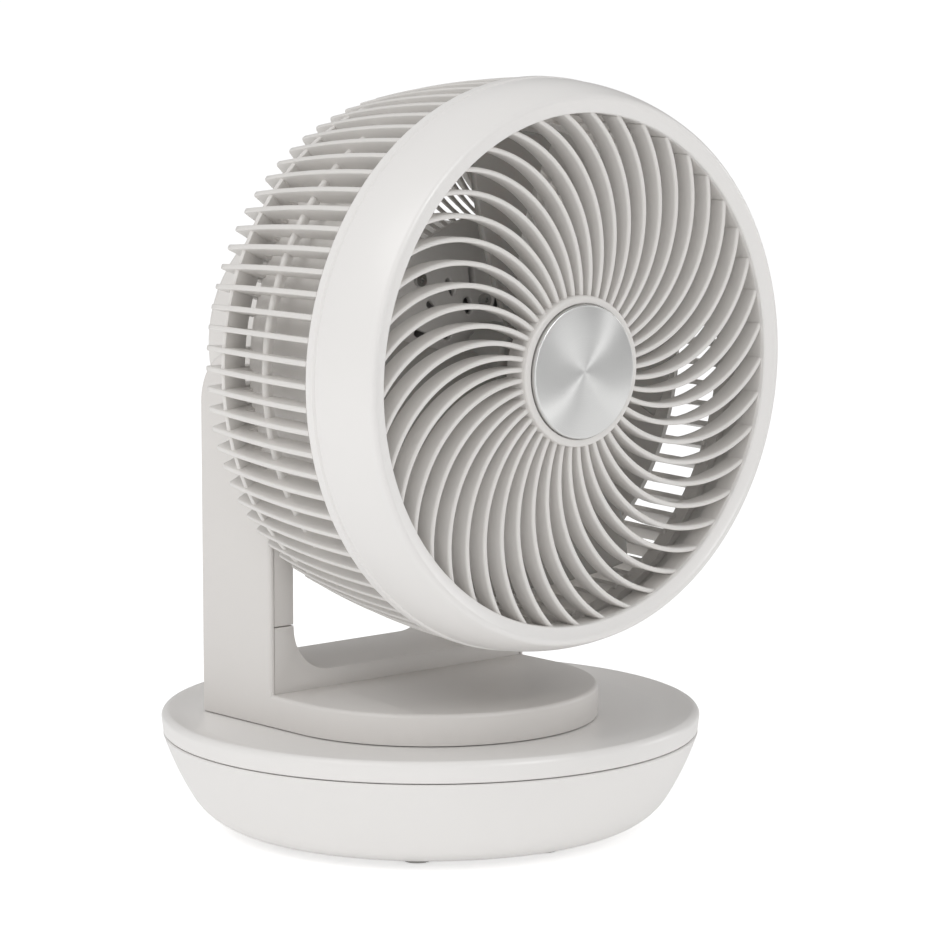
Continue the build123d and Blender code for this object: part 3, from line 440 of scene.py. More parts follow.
def moulded_grain_group():
    """Fine spark-eroded grain and a slow drift of gloss, as on satin mouldings."""
    found = bpy.data.node_groups.get("moulded grain")
    if found:
        return found
    group, given, out = new_group(
        "moulded grain",
        {"Grain Size": 0.0006, "Roughness": 0.4, "Roughness Drift": 0.06},
        {"Height": "Float", "Roughness": "Float"},
    )
    place = node(group, "TexCoord").outputs["Object"]
    per_metre = node(group, "Math", {0: 1.0, 1: given["Grain Size"]}, operation="DIVIDE")
    grain = node(group, "TexNoise", {"Vector": place, "Scale": per_metre.outputs[0], "Detail": 2.0})
    drift = node(group, "TexNoise", {"Vector": place, "Scale": 22.0, "Detail": 3.0})
    centred = node(group, "Math", {0: drift.outputs["Fac"], 1: 0.5}, operation="SUBTRACT")
    shares = {0: centred.outputs[0], 1: given["Roughness Drift"], 2: given["Roughness"]}
    roughness = node(group, "Math", shares, operation="MULTIPLY_ADD")
    feed(group, out, {"Height": grain.outputs["Fac"], "Roughness": roughness.outputs[0]})
    return group


def tone_drift_group():
    """Slow, faint drift of a colour, with a trace of dust on faces that look up."""
    found = bpy.data.node_groups.get("tone drift")
    if found:
        return found
    group, given, out = new_group(
        "tone drift",
        {"Color": (0.8, 0.8, 0.8, 1.0), "Drift": 0.03, "Dust": 0.02, "Dust Color": (0.55, 0.52, 0.47, 1.0)},
        {"Color": "Color"},
    )
    place = node(group, "TexCoord").outputs["Object"]
    cloud = node(group, "TexNoise", {"Vector": place, "Scale": 9.0, "Detail": 4.0})
    level = node(group, "Math", {0: 1.0, 1: given["Drift"]}, operation="SUBTRACT")
    shares = {0: cloud.outputs["Fac"], 1: given["Drift"], 2: level.outputs[0]}
    value = node(group, "Math", shares, operation="MULTIPLY_ADD")
    shade = node(group, "HueSaturation", {"Color": given["Color"], "Value": value.outputs[0]})
    normal = node(group, "SeparateXYZ", {0: node(group, "NewGeometry").outputs["Normal"]})
    up = node(group, "MapRange", {"Value": normal.outputs["Z"], "From Min": 0.35, "From Max": 1.0})
    specks = node(group, "TexNoise", {"Vector": place, "Scale": 260.0, "Detail": 5.0})
    cover = node(group, "Math", {0: up.outputs["Result"], 1: specks.outputs["Fac"]}, operation="MULTIPLY")
    share = node(group, "Math", {0: cover.outputs[0], 1: given["Dust"]}, operation="MULTIPLY")
    colours = {"Factor": share.outputs[0], "A": shade.outputs["Color"], "B": given["Dust Color"]}
    feed(group, out, {"Color": node(group, "Mix", colours, data_type="RGBA").outputs["Result"]})
    return group


def brushing_group():
    """Concentric tool marks round an axis along Y through Centre."""
    found = bpy.data.node_groups.get("spun brushing")
    if found:
        return found
    group, given, out = new_group(
        "spun brushing",
        {"Centre": (0.0, 0.0, 0.0), "Lines per Metre": 5200.0, "Roughness": 0.3, "Roughness Drift": 0.16},
        {"Height": "Float", "Roughness": "Float", "Tone": "Float"},
    )
    ends = {0: node(group, "TexCoord").outputs["Object"], 1: given["Centre"]}
    offset = node(group, "VectorMath", ends, operation="SUBTRACT")
    flat = node(group, "VectorMath", {0: offset.outputs["Vector"], 1: (1.0, 0.0, 1.0)}, operation="MULTIPLY")
    radius = node(group, "VectorMath", {0: flat.outputs["Vector"]}, operation="LENGTH").outputs["Value"]
    marks = {"W": radius, "Scale": given["Lines per Metre"], "Detail": 3.0}
    lines = node(group, "TexNoise", noise_dimensions="1D")
    feed(group, lines, marks)
    depth = lines.outputs["Fac"]
    centred = node(group, "Math", {0: depth, 1: 0.5}, operation="SUBTRACT")
    shares = {0: centred.outputs[0], 1: given["Roughness Drift"], 2: given["Roughness"]}
    rough = node(group, "Math", shares, operation="MULTIPLY_ADD")
    tone = node(group, "MapRange", {"Value": depth, "To Min": 0.86, "To Max": 1.08})
    feed(group, out, {"Height": depth, "Roughness": rough.outputs[0], "Tone": tone.outputs["Result"]})
    return group


def new_material(name):
    """Material with its node tree and Principled shader."""
    material = bpy.data.materials.new(name)
    material.use_nodes = True
    return material, material.node_tree, material.node_tree.nodes["Principled BSDF"]


def surface_material(name, tint, roughness, grain=0.0006, relief=0.00003, drift=0.03, dust=0.03, shader=None):
    """Opaque material with moulded grain and tone drift; shader holds further Principled values."""
    found = bpy.data.materials.get(name)
    if found:
        return found
    material, tree, principled = new_material(name)
    texture = node(tree, "Group", node_tree=moulded_grain_group())
    feed(tree, texture, {"Grain Size": grain, "Roughness": roughness})
    tone = node(tree, "Group", node_tree=tone_drift_group())
    feed(tree, tone, {"Color": (*tint, 1.0), "Drift": drift, "Dust": dust})
    bump = node(tree, "Bump", {"Height": texture.outputs["Height"], "Strength": 0.35, "Distance": relief})
    looks = {
        "Roughness": texture.outputs["Roughness"],
        "Base Color": tone.outputs["Color"],
        "Normal": bump.outputs["Normal"],
    }
    feed(tree, principled, looks | (shader or {}))
    return material


def cap_metal():
    """Spin-brushed metal of the hub cap."""
    material, tree, principled = new_material("brushed cap metal")
    marks = node(tree, "Group", node_tree=brushing_group())
    feed(tree, marks, {"Centre": (0.0, 0.0, head_height), "Roughness": 0.34})
    tint = (*finishes().cap, 1.0)
    colours = {"Factor": 1.0, "A": tint, "B": marks.outputs["Tone"]}
    mixed = node(tree, "Mix", data_type="RGBA", blend_type="MULTIPLY")
    feed(tree, mixed, colours)
    bump = node(tree, "Bump", {"Height": marks.outputs["Height"], "Strength": 0.25, "Distance": 0.00002})
    looks = {
        "Base Color": mixed.outputs["Result"],
        "Roughness": marks.outputs["Roughness"],
        "Normal": bump.outputs["Normal"],
        "Metallic": 1.0,
        "Anisotropic": 0.85,
        "Tangent": node(tree, "Tangent", direction_type="RADIAL", axis="Y").outputs["Tangent"],
    }
    feed(tree, principled, looks)
    return material


def metal(name, roughness, grain):
    """Plated or ground metal."""
    return surface_material(name, finishes().steel, roughness, grain, 0.00001, 0.12, 0.0, {"Metallic": 1.0})


def finishes():
    """Colours of the finishes, as set in the scene."""
    return bpy.context.scene.fan_finishes


def ring_white():
    """Smooth warm white of the ring and base."""
    return surface_material("ring white", finishes().ring, 0.34, relief=0.00002)


# what each record slot looks like
FINISHES = {
    "ring_white": ring_white,
    "base_white": ring_white,
    "yoke_white": lambda: surface_material("yoke white", finishes().yoke, 0.44),
    # painted shade: a darker white than the ring's, standing in for shading on the grille and fins
    "cage_white": lambda: surface_material("cage white darkened by painted shade", finishes().cage, 0.38),
    # painted shade: light blade plastic coloured grey for the dark interior of the head
    "blade_white": lambda: surface_material(
        "blade plastic greyed by painted shade", finishes().blade, 0.32, relief=0.00001, shader={"Subsurface Weight": 0.06}
    ),
    "brushed_cap": cap_metal,
    "steel": lambda: metal("plated steel", 0.36, 0.0009),
    "shaft_steel": lambda: metal("ground steel", 0.22, 0.0004),
    "rubber": lambda: surface_material("foot rubber", finishes().rubber, 0.78, 0.0009, 0.00008, 0.2),
    "acetal": lambda: surface_material("acetal", finishes().acetal, 0.38, relief=0.00001),
    "winding": lambda: surface_material("varnished winding", finishes().winding, 0.3, 0.0012, 0.0002, 0.3),
    "board": lambda: surface_material("solder mask", finishes().board, 0.3, grain=0.002, drift=0.2),
    "black_plastic": lambda: surface_material("black plastic", finishes().socket, 0.42, relief=0.00004),
}


# ---- operators ---------------------------------------------------------------------------------


class FAN_OT_base_bowl(bpy.types.Operator):
    """Build the base bowl with its socket hole"""

    bl_idname = "fan.base_bowl"
    bl_label = "Base Bowl"

    def execute(self, context):
        sizes = context.scene.fan_base
        seam_radius, seam, floor = bowl_high.x, bowl_high.z, bowl_low.z
        centre = (sizes.flat_radius, floor + sizes.corner_radius)

        def side(inset):
            corner = arc_about(centre, sizes.corner_radius - inset, -90, degrees(sizes.corner_turn) - 90, 14)
            rim = (seam_radius - inset, seam - sizes.edge_round)
            middle = (
                (corner[-1][0] + rim[0]) / 2 + sizes.side_bulge,
                (corner[-1][1] + rim[1]) / 2 - sizes.side_bulge,
            )
            return corner + arc_through(corner[-1], middle, rim, 12)[1:]

        outer, inner = side(0.0), side(sizes.wall)
        outline = [(0.0, floor), *outer, (seam_radius - sizes.edge_round, seam)]
        outline += [(seam_radius - sizes.wall, seam), *reversed(inner), (0.0, floor + sizes.wall)]
        bowl = turned_about_base("base_bowl", outline, closed=False)
        # hole for the power socket
        middle = (socket_low + socket_high) / 2
        drill = bmesh.new()
        place = Matrix.Translation((0, socket_high.y, middle.z)) @ Matrix.Rotation(pi / 2, 4, "X")
        radius, depth = (socket_high.x - socket_low.x) / 2, 4 * sizes.flat_radius / 3
        bmesh.ops.create_cone(
            drill, cap_ends=True, segments=64, radius1=radius, radius2=radius, depth=depth, matrix=place
        )
        cutter = from_bmesh("socket_drill", drill)
        cut = bowl.modifiers.new("socket hole", "BOOLEAN")
        cut.object = cutter
        cut.solver = "EXACT"
        settle(bowl)
        bpy.data.objects.remove(cutter)
        finish_piece(bowl, "base", "base_white", "base_shell")
        return {"FINISHED"}


class FAN_OT_base_cover(bpy.types.Operator):
    """Build the dished cover of the base"""

    bl_idname = "fan.base_cover"
    bl_label = "Base Cover"

    def execute(self, context):
        sizes = context.scene.fan_base
        seam_radius = bowl_high.x
        bottom = bowl_high.z + 0.0005
        crest = cover_high.z
        top = crest - sizes.dish_depth
        rim_inner = seam_radius - sizes.rim_width
        swell = cover_high.x - seam_radius
        lip = seam_radius - sizes.lip_step
        rim_foot = (seam_radius + swell, crest - sizes.rim_width)
        rim = arc_through(rim_foot, (seam_radius, crest - swell), (rim_inner, crest), 10)
        dish_middle = ((rim_inner + sizes.dish_radius) / 2, top + 0.35 * sizes.dish_depth)
        dish = arc_through(rim[-1], dish_middle, (sizes.dish_radius, top), 14)
        outline = [
            (seam_radius - sizes.edge_round, bottom),
            (seam_radius, bottom + sizes.edge_round),
            *rim,
            *dish[1:],
            (sizes.spindle_radius, top),
            (sizes.spindle_radius, top - sizes.wall),
            (sizes.dish_radius, top - sizes.wall),
            (lip - sizes.wall, top - sizes.wall + 0.001),
            (lip - sizes.wall, bowl_high.z - sizes.lip_depth),
            (lip, bowl_high.z - sizes.lip_depth),
            (lip, bottom),
        ]
        cover = turned_about_base("base_cover_top", outline)
        finish_piece(cover, "base", "base_white", "base_cover")
        return {"FINISHED"}


class FAN_OT_yoke(bpy.types.Operator):
    """Give the turntable, arms and their lining rounded edges and a satin finish"""

    bl_idname = "fan.yoke"
    bl_label = "Turntable and Yoke"

    def execute(self, context):
        sizes = context.scene.fan_base
        for name in YOKE_NODES:
            part = frame["nodes"][name]
            part.data.shade_smooth()
            part.data.set_sharp_from_angle(angle=radians(30))
            weld = part.modifiers.new("weld", "WELD")
            weld.merge_threshold = 0.00001
            bevel = part.modifiers.new("edge round", "BEVEL")
            bevel.width = 0.0004
            bevel.segments = 2
            bevel.angle_limit = radians(50)
            bevel.harden_normals = True
            coat(part, "yoke_white")
        shell = frame["nodes"]["yoke_shell"]
        under = min((shell.matrix_world @ Vector(corner)).z for corner in shell.bound_box)
        skirt = turned_about_base(
            "turntable_skirt",
            [
                (sizes.skirt_radius - 0.002, under + 0.001),
                (sizes.skirt_radius - 0.002, under - sizes.skirt_drop),
                (sizes.skirt_radius, under - sizes.skirt_drop),
                (sizes.skirt_radius, under + 0.001),
            ],
        )
        finish_piece(skirt, "yoke", "yoke_white")
        return {"FINISHED"}


class FAN_OT_front_ring(bpy.types.Operator):
    """Build the rounded front ring of the head"""

    bl_idname = "fan.front_ring"
    bl_label = "Front Ring"

    def execute(self, context):
        sizes = context.scene.fan_ring
        grille = context.scene.fan_grille
        crest = ring_low.y
        opening = crest + sizes.crest_forward
        crease = opening + sizes.crease_back
        band = ring_radius
        rim = sizes.opening_radius + grille.rim_width + 0.0003
        shoulder = sizes.crease_radius - 0.0019
        nose = arc_through(
            (crest + 0.0006, sizes.opening_radius + 0.0044),
            (crest, sizes.crest_radius),
            (crest + 0.0016, sizes.crest_radius + 0.002),
            10,
        )
        outside = arc_through(nose[-1], (crest + 0.013, shoulder), (crease, sizes.crease_radius), 24)
        lining = arc_through(
            (crease, sizes.crease_radius - sizes.wall),
            (crest + 0.013, shoulder - sizes.wall),
            (crest + 0.005, sizes.crest_radius - 0.0005),
            16,
        )
        outline = [
            (opening + 0.0004, sizes.opening_radius),
            (opening - 0.0002, sizes.opening_radius + 0.0004),
            *nose,
            *outside[1:],
            (crease + 0.0004, sizes.crease_radius - 0.0004),
            (crease + 0.0009, band - 0.0004),
            (crease + 0.0012, band - 0.0001),
            (ring_high.y - 0.0005, band),
            (ring_high.y, band - 0.0005),
            (ring_high.y, band - sizes.wall),
            *lining,
            (crest + 0.005, rim),
            (opening + 0.002, rim),
            (opening + 0.002, sizes.opening_radius),
        ]
        ring = turned_about_head("front_ring_band", outline, steps=256)
        finish_piece(ring, "head", "ring_white", "front_ring")
        return {"FINISHED"}


class FAN_OT_front_grille(bpy.types.Operator):
    """Build the swirled ribs, their rim and the hub cup"""

    bl_idname = "fan.front_grille"
    bl_label = "Front Grille"

    def execute(self, context):
        sizes = context.scene.fan_grille
        ring = context.scene.fan_ring
        front = ring_low.y + ring.crest_forward + sizes.rib_recess
        back = front + sizes.rib_depth
        start = sizes.hub_radius - 0.001
        reach = ring.opening_radius + sizes.rim_width / 2
        # a rib is swept along its arc with a rounded front edge
        half = sizes.rib_width / 2
        nose = [(x, front + half - y) for x, y in arc_about((0, 0), half, 0, 180, 6)]
        section = [(half * 0.8, back), *nose, (-half * 0.8, back)]
        turns, steps = [], 40
        for k in range(steps + 1):
            turn = radians(-90 + 100 * k / steps)
            x = start + sizes.rib_bend * cos(turn)
            z = sizes.rib_bend * (1 + sin(turn))
            if hypot(x, z) > reach:
                break
            turns.append(turn)
        shape = bmesh.new()
        rows = []
        for turn in turns:
            normal = Vector((cos(turn), 0, sin(turn)))
            middle = Vector((start, 0, sizes.rib_bend)) + normal * sizes.rib_bend
            places = [middle + normal * across + Vector((0, y, head_height)) for across, y in section]
            rows.append([shape.verts.new(place) for place in places])
        skin(shape, rows, closed=True)
        shape.faces.new(rows[0])
        shape.faces.new(list(reversed(rows[-1])))
        rib = bpy.data.meshes.new("rib")
        shape.to_mesh(rib)
        shape.free()
        ribs = copies_about_head("grille_ribs", rib, sizes.rib_count, sizes.rib_phase)
        finish_piece(ribs, "head", "cage_white", "front_grille")
        rim = turned_about_head(
            "grille_rim",
            [
                (front, ring.opening_radius + 0.0003),
                (front, ring.opening_radius + sizes.rim_width),
                (back, ring.opening_radius + sizes.rim_width),
                (back, ring.opening_radius),
                (front + 0.0003, ring.opening_radius),
            ],
        )
        finish_piece(rim, "head", "cage_white", "front_grille")
        opening = ring_low.y + ring.crest_forward
        pocket = (cap_high.x - cap_low.x) / 2 + 0.0003
        edge = arc_about((-sizes.hub_radius + 0.0012, 0.0), 0.0012, 180, 90, 6)
        rounded = [(opening + 0.0012 - z, -x) for x, z in edge]
        hub = turned_about_head(
            "grille_hub",
            [
                (cap_high.y, 0.0),
                (cap_high.y, pocket),
                (opening + 0.0003, pocket),
                (opening, pocket + 0.0003),
                *reversed(rounded),
                (back, sizes.hub_radius),
                (back, sizes.hub_radius - 0.0025),
                (back - 0.006, sizes.hub_radius - 0.0025),
                (back - 0.006, 0.0),
            ],
            closed=False,
        )
        finish_piece(hub, "head", "cage_white", "front_grille")
        return {"FINISHED"}


class FAN_OT_hub_cap(bpy.types.Operator):
    """Build the brushed cap in the middle of the grille"""

    bl_idname = "fan.hub_cap"
    bl_label = "Hub Cap"

    def execute(self, context):
        sizes = context.scene.fan_grille
        radius = (cap_high.x - cap_low.x) / 2
        quarter = arc_about((0, 0), sizes.cap_round, 90, 0, 6)
        edge = [(cap_low.y + sizes.cap_round - y, radius - sizes.cap_round + x) for x, y in quarter]
        back = cap_high.y - 0.0002
        face = [(cap_low.y, 0.0), (cap_low.y, radius * 0.5)]
        cap = turned_about_head("hub_cap_disc", [*face, *edge, (back, radius), (back, 0.0)], closed=False)
        finish_piece(cap, "head", "brushed_cap", "hub_cap")
        return {"FINISHED"}


class FAN_OT_rear_cage(bpy.types.Operator):
    """Build the fins, duct, hoop and slotted motor plate"""

    bl_idname = "fan.rear_cage"
    bl_label = "Rear Cage"

    def execute(self, context):
        sizes = context.scene.fan_cage
        band = ring_radius
        root = ring_high.y + 0.0003
        tip, tip_radius = cage_high.y, sizes.fin_tip_radius
        plate_back = sizes.plate_front + sizes.plate_thickness
        duct_back, duct_radius = sizes.duct_back, sizes.duct_radius
        duct_inner = duct_radius - sizes.duct_wall
        slot_back = duct_back - sizes.duct_wall
        slot_front = slot_back - sizes.duct_slot
        middle_radius = (duct_radius + sizes.plate_radius) / 2
        swell = ((root + tip) / 2, (band + tip_radius) / 2 + 0.0016)
        outer = arc_through((root, band - 0.0004), swell, (tip - 0.0008, tip_radius + 0.0002), 20)
        heel = arc_through(outer[-1], (tip, tip_radius - 0.001), (tip - 0.0002, tip_radius - 0.0022), 4)
        inner_heel = (tip - 0.0015, tip_radius - sizes.fin_depth - 0.002)
        dish = arc_through(inner_heel, (-0.002, middle_radius), (plate_back, sizes.plate_radius), 20)
        plate_edge = sizes.plate_radius - 0.001
        foot = (duct_back - 0.002, duct_inner - 0.001)
        front = arc_through((sizes.plate_front, plate_edge), (-0.009, middle_radius), foot, 16)
        outline = [
            *outer,
            *heel[1:],
            *dish,
            (plate_back, plate_edge),
            *front,
            (duct_back - 0.002, duct_radius - sizes.duct_wall / 2),
            (slot_front - 0.002, duct_radius - sizes.duct_wall / 2),
            (slot_front - 0.002, tip_radius + 0.0003 - sizes.fin_depth / 3),
            (root, band - sizes.fin_depth),
        ]
        # the sheet's local x is the row's Y and its local y is the radius, upwards
        upright = Matrix(((0, 0, 1, 0), (1, 0, 0, 0), (0, 1, 0, head_height), (0, 0, 0, 1)))
        fin = cut_sheet("fin", [outline], sizes.fin_thickness, sizes.fin_round, upright)
        fins = copies_about_head("cage_fins", fin, sizes.fin_count, sharp=40)
        finish_piece(fins, "head", "cage_white", "rear_cage")

        flare = tip_radius + 0.0016
        soft = 0.0004
        half = 0.0017
        hoop_arc = arc_about((sizes.hoop_back, sizes.hoop_radius - half), half, -30, 210, 10)
        hoop_foot = [(sizes.hoop_back + side * half, sizes.hoop_radius - 0.004) for side in (-1, 1)]
        collar = band - sizes.fin_depth / 2
        rings = {
            "cage_duct": [
                (sizes.duct_front, duct_radius - soft),
                (sizes.duct_front + soft, duct_radius),
                (slot_front - soft, duct_radius),
                (slot_front, duct_radius - soft),
                (slot_front, duct_inner),
                (sizes.duct_front, duct_inner),
            ],
            "cage_flare": [
                (slot_back, duct_inner),
                (slot_back, flare - soft),
                (slot_back + 0.0006, flare),
                (duct_back - 0.0006, flare),
                (duct_back, flare - 0.0006),
                (duct_back, duct_inner),
            ],
            "cage_hoop": [*hoop_arc, *hoop_foot],
            "cage_collar": [
                (cage_low.y, collar - 0.003),
                (cage_low.y, collar),
                (root + 0.003, collar),
                (root + 0.003, collar - 0.003),
            ],
        }
        for name, section in rings.items():
            finish_piece(turned_about_head(name, section), "head", "cage_white", "rear_cage")

        # motor plate with two rings of slots and a shaft hole
        outlines = [circle(sizes.plate_radius), circle(0.011, 48)]
        for k in range(sizes.slot_count):
            turn = pi / 2 + 2 * pi * (k + 0.5) / sizes.slot_count
            outlines.append(slot_outline(0.038, turn, 0.0085, 0.0032))
        for k in range(sizes.inner_slot_count):
            turn = pi / 2 + 2 * pi * (k + 0.5) / sizes.inner_slot_count
            outlines.append(slot_outline(0.0255, turn, 0.008, 0.0046))
        place = facing_front(sizes.plate_front + sizes.plate_thickness / 2)
        sheet = cut_sheet("plate", outlines, sizes.plate_thickness, soft, place)
        finish_piece(finish_mesh("motor_plate", sheet, 40), "head", "cage_white", "rear_cage")
        return {"FINISHED"}


class FAN_OT_rear_housing(bpy.types.Operator):
    """Build the round housing behind the motor with its vents and side bosses"""

    bl_idname = "fan.rear_housing"
    bl_label = "Rear Housing"

    def execute(self, context):
        sizes = context.scene.fan_cage
        radius = (housing_high.z - housing_low.z) / 2
        wall = 0.0024
        back = housing_high.y
        edge = sizes.housing_edge
        face_radius = radius - edge
        corner = [(back - edge + y, face_radius + x) for x, y in arc_about((0, 0), edge, 0, 90, 9)]
        barrel = turned_about_head(
            "housing_barrel",
            [
                (housing_low.y, radius - wall),
                (housing_low.y, radius),
                *corner,
                (back - wall, face_radius),
                (back - edge, radius - wall),
            ],
        )
        finish_piece(barrel, "head", "cage_white", "rear_housing")
        outlines = [circle(face_radius + 0.0008, 128)]
        for k in range(sizes.vent_count):
            outlines.append(slot_outline(0.033, 2 * pi * k / sizes.vent_count, 0.026, 0.0024))
        place = facing_front(back - wall / 2)
        lid = finish_mesh("housing_vents", cut_sheet("vents", outlines, wall, 0.0004, place), 40)
        finish_piece(lid, "head", "cage_white", "rear_housing")
        boss = 0.014
        inner, outer = sqrt(radius**2 - (head_height - tilt_point.z) ** 2) - boss, housing_high.x
        shape = bmesh.new()
        for side in (-1, 1):
            middle = Matrix.Translation((side * (outer + inner) / 2, tilt_point.y, tilt_point.z))
            place = middle @ Matrix.Rotation(pi / 2, 4, "Y")
            size = {"radius1": boss, "radius2": boss, "depth": outer - inner}
            bmesh.ops.create_cone(shape, cap_ends=True, segments=96, matrix=place, **size)
        bosses = from_bmesh("housing_bosses", shape)
        finish_piece(bosses, "head", "cage_white", "rear_housing")
        return {"FINISHED"}


class FAN_OT_impeller(bpy.types.Operator):
    """Build the impeller's blades, hub and nut"""

    bl_idname = "fan.impeller"
    bl_label = "Impeller"

    def execute(self, context):
        sizes = context.scene.fan_blades
        tip_radius = max(abs(impeller_low.x), abs(impeller_high.x))
        low_y, high_y = impeller_low.y, impeller_high.y
        middle_y = (low_y + high_y) / 2
        shape = bmesh.new()
        rows, chord_steps, span_steps = [], 24, 20
        for i in range(span_steps + 1):
            span = i / span_steps
            radius = sizes.hub_radius - 0.002 + span * (tip_radius - sizes.hub_radius + 0.002)
            chord = sizes.root_chord + (sizes.tip_chord - sizes.root_chord) * span**0.9
            pitch = sizes.root_pitch + (sizes.tip_pitch - sizes.root_pitch) * span**0.8
            lean = sizes.blade_phase + sizes.sweep * span
            row = []
            for k in range(chord_steps + 1):
                share = k / chord_steps - 0.5
                camber = 0.05 * chord * (1 - 4 * share * share)
                across = share * chord * cos(pitch) - camber * sin(pitch)
                along = share * chord * sin(pitch) + camber * cos(pitch)
                y = min(max(middle_y + along, low_y + 0.0012), high_y - 0.0012)
                turn = lean + across / max(radius, 0.02)
                row.append(shape.verts.new((radius * sin(turn), y, head_height + radius * cos(turn))))
            rows.append(row)
        skin(shape, rows, closed=False)
        blade = from_bmesh("blade", shape, 60)
        shell = blade.modifiers.new("thickness", "SOLIDIFY")
        shell.thickness = sizes.thickness
        shell.offset = 0.0
        rounded = blade.modifiers.new("edge round", "BEVEL")
        rounded.width = 0.0008
        rounded.segments = 3
        rounded.angle_limit = radians(60)
        settle(blade)
        mesh = blade.data
        bpy.data.objects.remove(blade)
        blades = copies_about_head("impeller_blades", mesh, sizes.blade_count, sharp=50)
        finish_piece(blades, "rotor", "blade_white", "impeller")
        hub_front = nut_high.y
        crown = arc_about((0, 0), 0.003, 90, 0, 6)
        hub = turned_about_head(
            "impeller_hub",
            [
                (hub_front, 0.004),
                *[(hub_front + 0.003 - y, sizes.hub_radius - 0.003 + r) for r, y in crown],
                (high_y, sizes.hub_radius),
                (high_y, 0.004),
            ],
            closed=False,
        )
        finish_piece(hub, "rotor", "blade_white", "impeller")
        radius = (nut_high.x - nut_low.x) / 2
        nut = turned_about_head(
            "impeller_spinner",
            [
                (nut_low.y, 0.0),
                *[(nut_low.y + 0.002 - y, radius - 0.002 + r) for r, y in arc_about((0, 0), 0.002, 90, 0, 6)],
                (nut_high.y, radius),
                (nut_high.y, 0.0),
            ],
            closed=False,
        )
        finish_piece(nut, "rotor", "blade_white", "impeller_nut")
        return {"FINISHED"}


class FAN_OT_inner_parts(bpy.types.Operator):
    """Give every carried-over part its finish"""

    bl_idname = "fan.inner_parts"
    bl_label = "Screws, Motor and Drive"

    def execute(self, context):
        slots = {part["node"]: part["material_slot"] for part in frame["record"]["subparts"]}
        for name, part in frame["nodes"].items():
            if part.hide_render or name in YOKE_NODES:
                continue
            part.data.shade_smooth()
            part.data.set_sharp_from_angle(angle=radians(30))
            coat(part, slots[name])
        return {"FINISHED"}


def light_the_room(tree, settings):
    """Even light from all round, plain white to the camera and dimmer in reflections, for the metal."""
    ray = node(tree, "LightPath").outputs
    levels = {"Factor": ray["Is Glossy Ray"], "A": settings.sky, "B": settings.reflected_sky}
    glossy = node(tree, "Mix", levels, data_type="FLOAT").outputs["Result"]
    seen = node(tree, "Mix", {"Factor": ray["Is Camera Ray"], "A": glossy, "B": 1.0}, data_type="FLOAT")
    feed(tree, tree.nodes["Background"], {"Color": WHITE, "Strength": seen.outputs["Result"]})


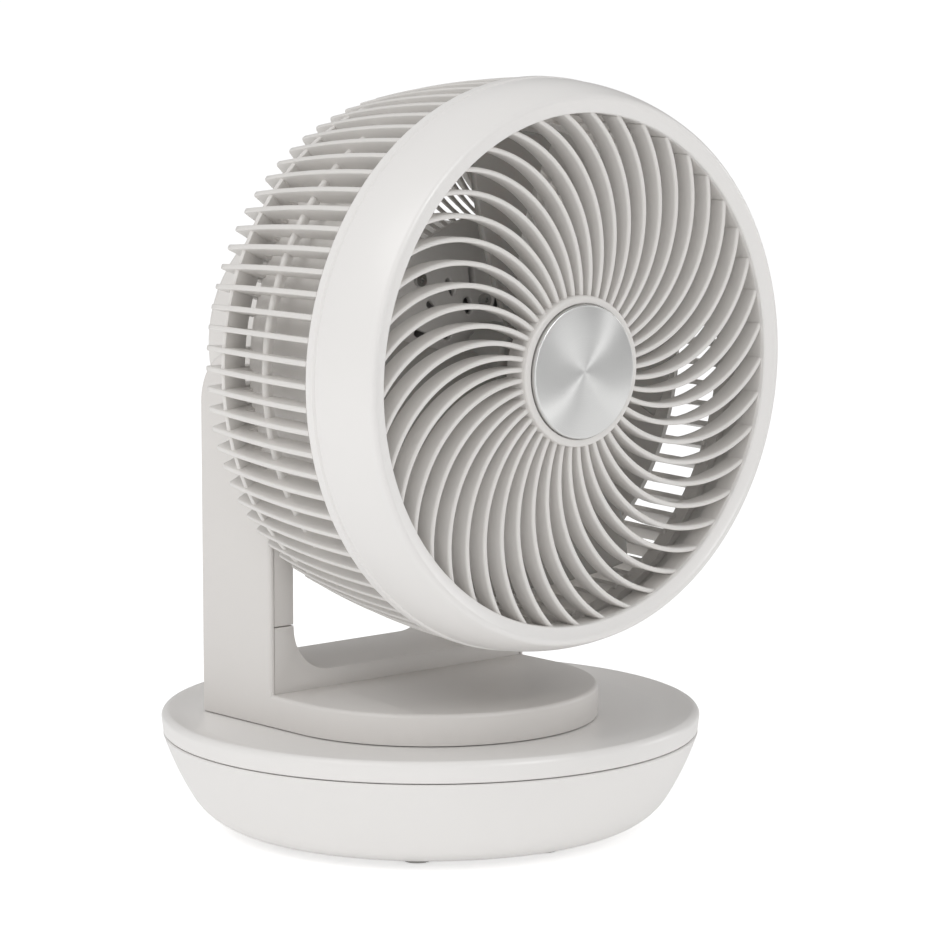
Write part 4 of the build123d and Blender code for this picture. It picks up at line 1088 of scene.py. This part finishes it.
class FAN_OT_stage(bpy.types.Operator):
    """Lay the pale floor and set the light and camera"""

    bl_idname = "fan.stage"
    bl_label = "Stage"

    def execute(self, context):
        scene = context.scene
        settings = scene.fan_stage
        side = settings.floor_size / 2
        shape = bmesh.new()
        bmesh.ops.create_grid(shape, x_segments=1, y_segments=1, size=side)
        floor = from_bmesh("studio_floor", shape)
        paper = surface_material("pale floor", (0.93, 0.93, 0.93), 0.7, grain=0.002, drift=0.01, dust=0.0)
        floor.data.materials.append(paper)

        world = bpy.data.worlds.new("studio")
        scene.world = world
        world.use_nodes = True
        light_the_room(world.node_tree, settings)

        azimuth, rise = settings.camera_azimuth, settings.camera_elevation
        towards = Vector((sin(azimuth), -cos(azimuth), 0.0))
        right = Vector((cos(azimuth), sin(azimuth), 0.0))
        aim = Vector(settings.aim)
        lamps = (
            ("key", aim - right * 1.0 + towards * 1.0 + Vector((0, 0, 1.55)), 1.3, settings.key_power),
            ("fill", aim + right * 1.6 + towards * 1.3 + Vector((0, 0, 0.8)), 1.8, settings.fill_power),
            ("side", aim + Vector((1.9, -0.52, 0.32)), 0.9, settings.side_power),
            ("front", aim + towards * 1.7 + Vector((0, 0, 0.12)), 0.9, settings.front_power),
            ("glint_high", aim + Vector((0.10, -1.78, 0.95)), 0.5, settings.glint_power),
            ("glint_low", aim + Vector((1.86, -0.62, 0.36)), 0.6, settings.low_glint_power),
            ("back", aim - towards * 1.4 + Vector((0, 0, 1.6)), 1.6, settings.fill_power),
        )
        tree = paper.node_tree
        seen = node(tree, "LightPath").outputs["Is Camera Ray"]
        levels = {"Factor": seen, "A": settings.floor_bounce, "B": settings.floor_glow}
        glow = node(tree, "Mix", levels, data_type="FLOAT").outputs["Result"]
        feed(tree, tree.nodes["Principled BSDF"], {"Emission Color": WHITE, "Emission Strength": glow})
        for name, place, size, power in lamps:
            light = bpy.data.lights.new(f"{name}_light", "AREA")
            light.shape = "DISK"
            light.size = size
            light.energy = power
            lamp = bpy.data.objects.new(f"{name}_light", light)
            lamp.location = place
            lamp.rotation_euler = (aim - place).to_track_quat("-Z", "Y").to_euler()
            lamp.visible_diffuse = not name.startswith("glint")
            scene.collection.objects.link(lamp)

        back = towards * cos(rise) + Vector((0, 0, sin(rise)))
        lens = bpy.data.cameras.new("view")
        lens.lens = settings.lens
        lens.sensor_width = 36.0
        camera = bpy.data.objects.new("view", lens)
        camera.location = aim + back * settings.camera_distance
        camera.rotation_euler = (-back).to_track_quat("-Z", "Y").to_euler()
        scene.collection.objects.link(camera)
        scene.camera = camera
        scene.view_settings.view_transform = "Standard"
        return {"FINISHED"}


class FAN_PT_sidebar(bpy.types.Panel):
    """Lists the steps that build the fan"""

    bl_idname = "FAN_PT_sidebar"
    bl_label = "Air Circulator"
    bl_space_type = "VIEW_3D"
    bl_region_type = "UI"
    bl_category = "Air Circulator"

    def draw(self, context):
        for step in STEPS:
            self.layout.operator(step.bl_idname)
        for name in SETTINGS:
            box = self.layout.box()
            for key in getattr(context.scene, name).bl_rna.properties.keys():
                if key not in ("rna_type", "name"):
                    box.prop(getattr(context.scene, name), key)


SETTINGS = {
    "fan_base": FanBaseSizes,
    "fan_ring": FanRingSizes,
    "fan_grille": FanGrilleSizes,
    "fan_cage": FanCageSizes,
    "fan_blades": FanBladeSizes,
    "fan_finishes": FanFinishes,
    "fan_stage": FanStageSettings,
}
STEPS = (
    FAN_OT_base_bowl,
    FAN_OT_base_cover,
    FAN_OT_yoke,
    FAN_OT_front_ring,
    FAN_OT_front_grille,
    FAN_OT_hub_cap,
    FAN_OT_rear_cage,
    FAN_OT_rear_housing,
    FAN_OT_impeller,
    FAN_OT_inner_parts,
    FAN_OT_stage,
)


def register():
    """Register every class and hang the settings on the scene."""
    for name, group in SETTINGS.items():
        bpy.utils.register_class(group)
        setattr(bpy.types.Scene, name, PointerProperty(type=group))
    for made in (*STEPS, FAN_PT_sidebar):
        bpy.utils.register_class(made)


def unregister():
    """Take every class and setting away again."""
    for made in reversed((*STEPS, FAN_PT_sidebar)):
        bpy.utils.unregister_class(made)
    for name, group in SETTINGS.items():
        delattr(bpy.types.Scene, name)
        bpy.utils.unregister_class(group)


def main():
    """Build every piece in order."""
    register()
    for step in STEPS:
        group, name = step.bl_idname.split(".")
        getattr(getattr(bpy.ops, group), name)()


if __name__ == "__main__":
    main()
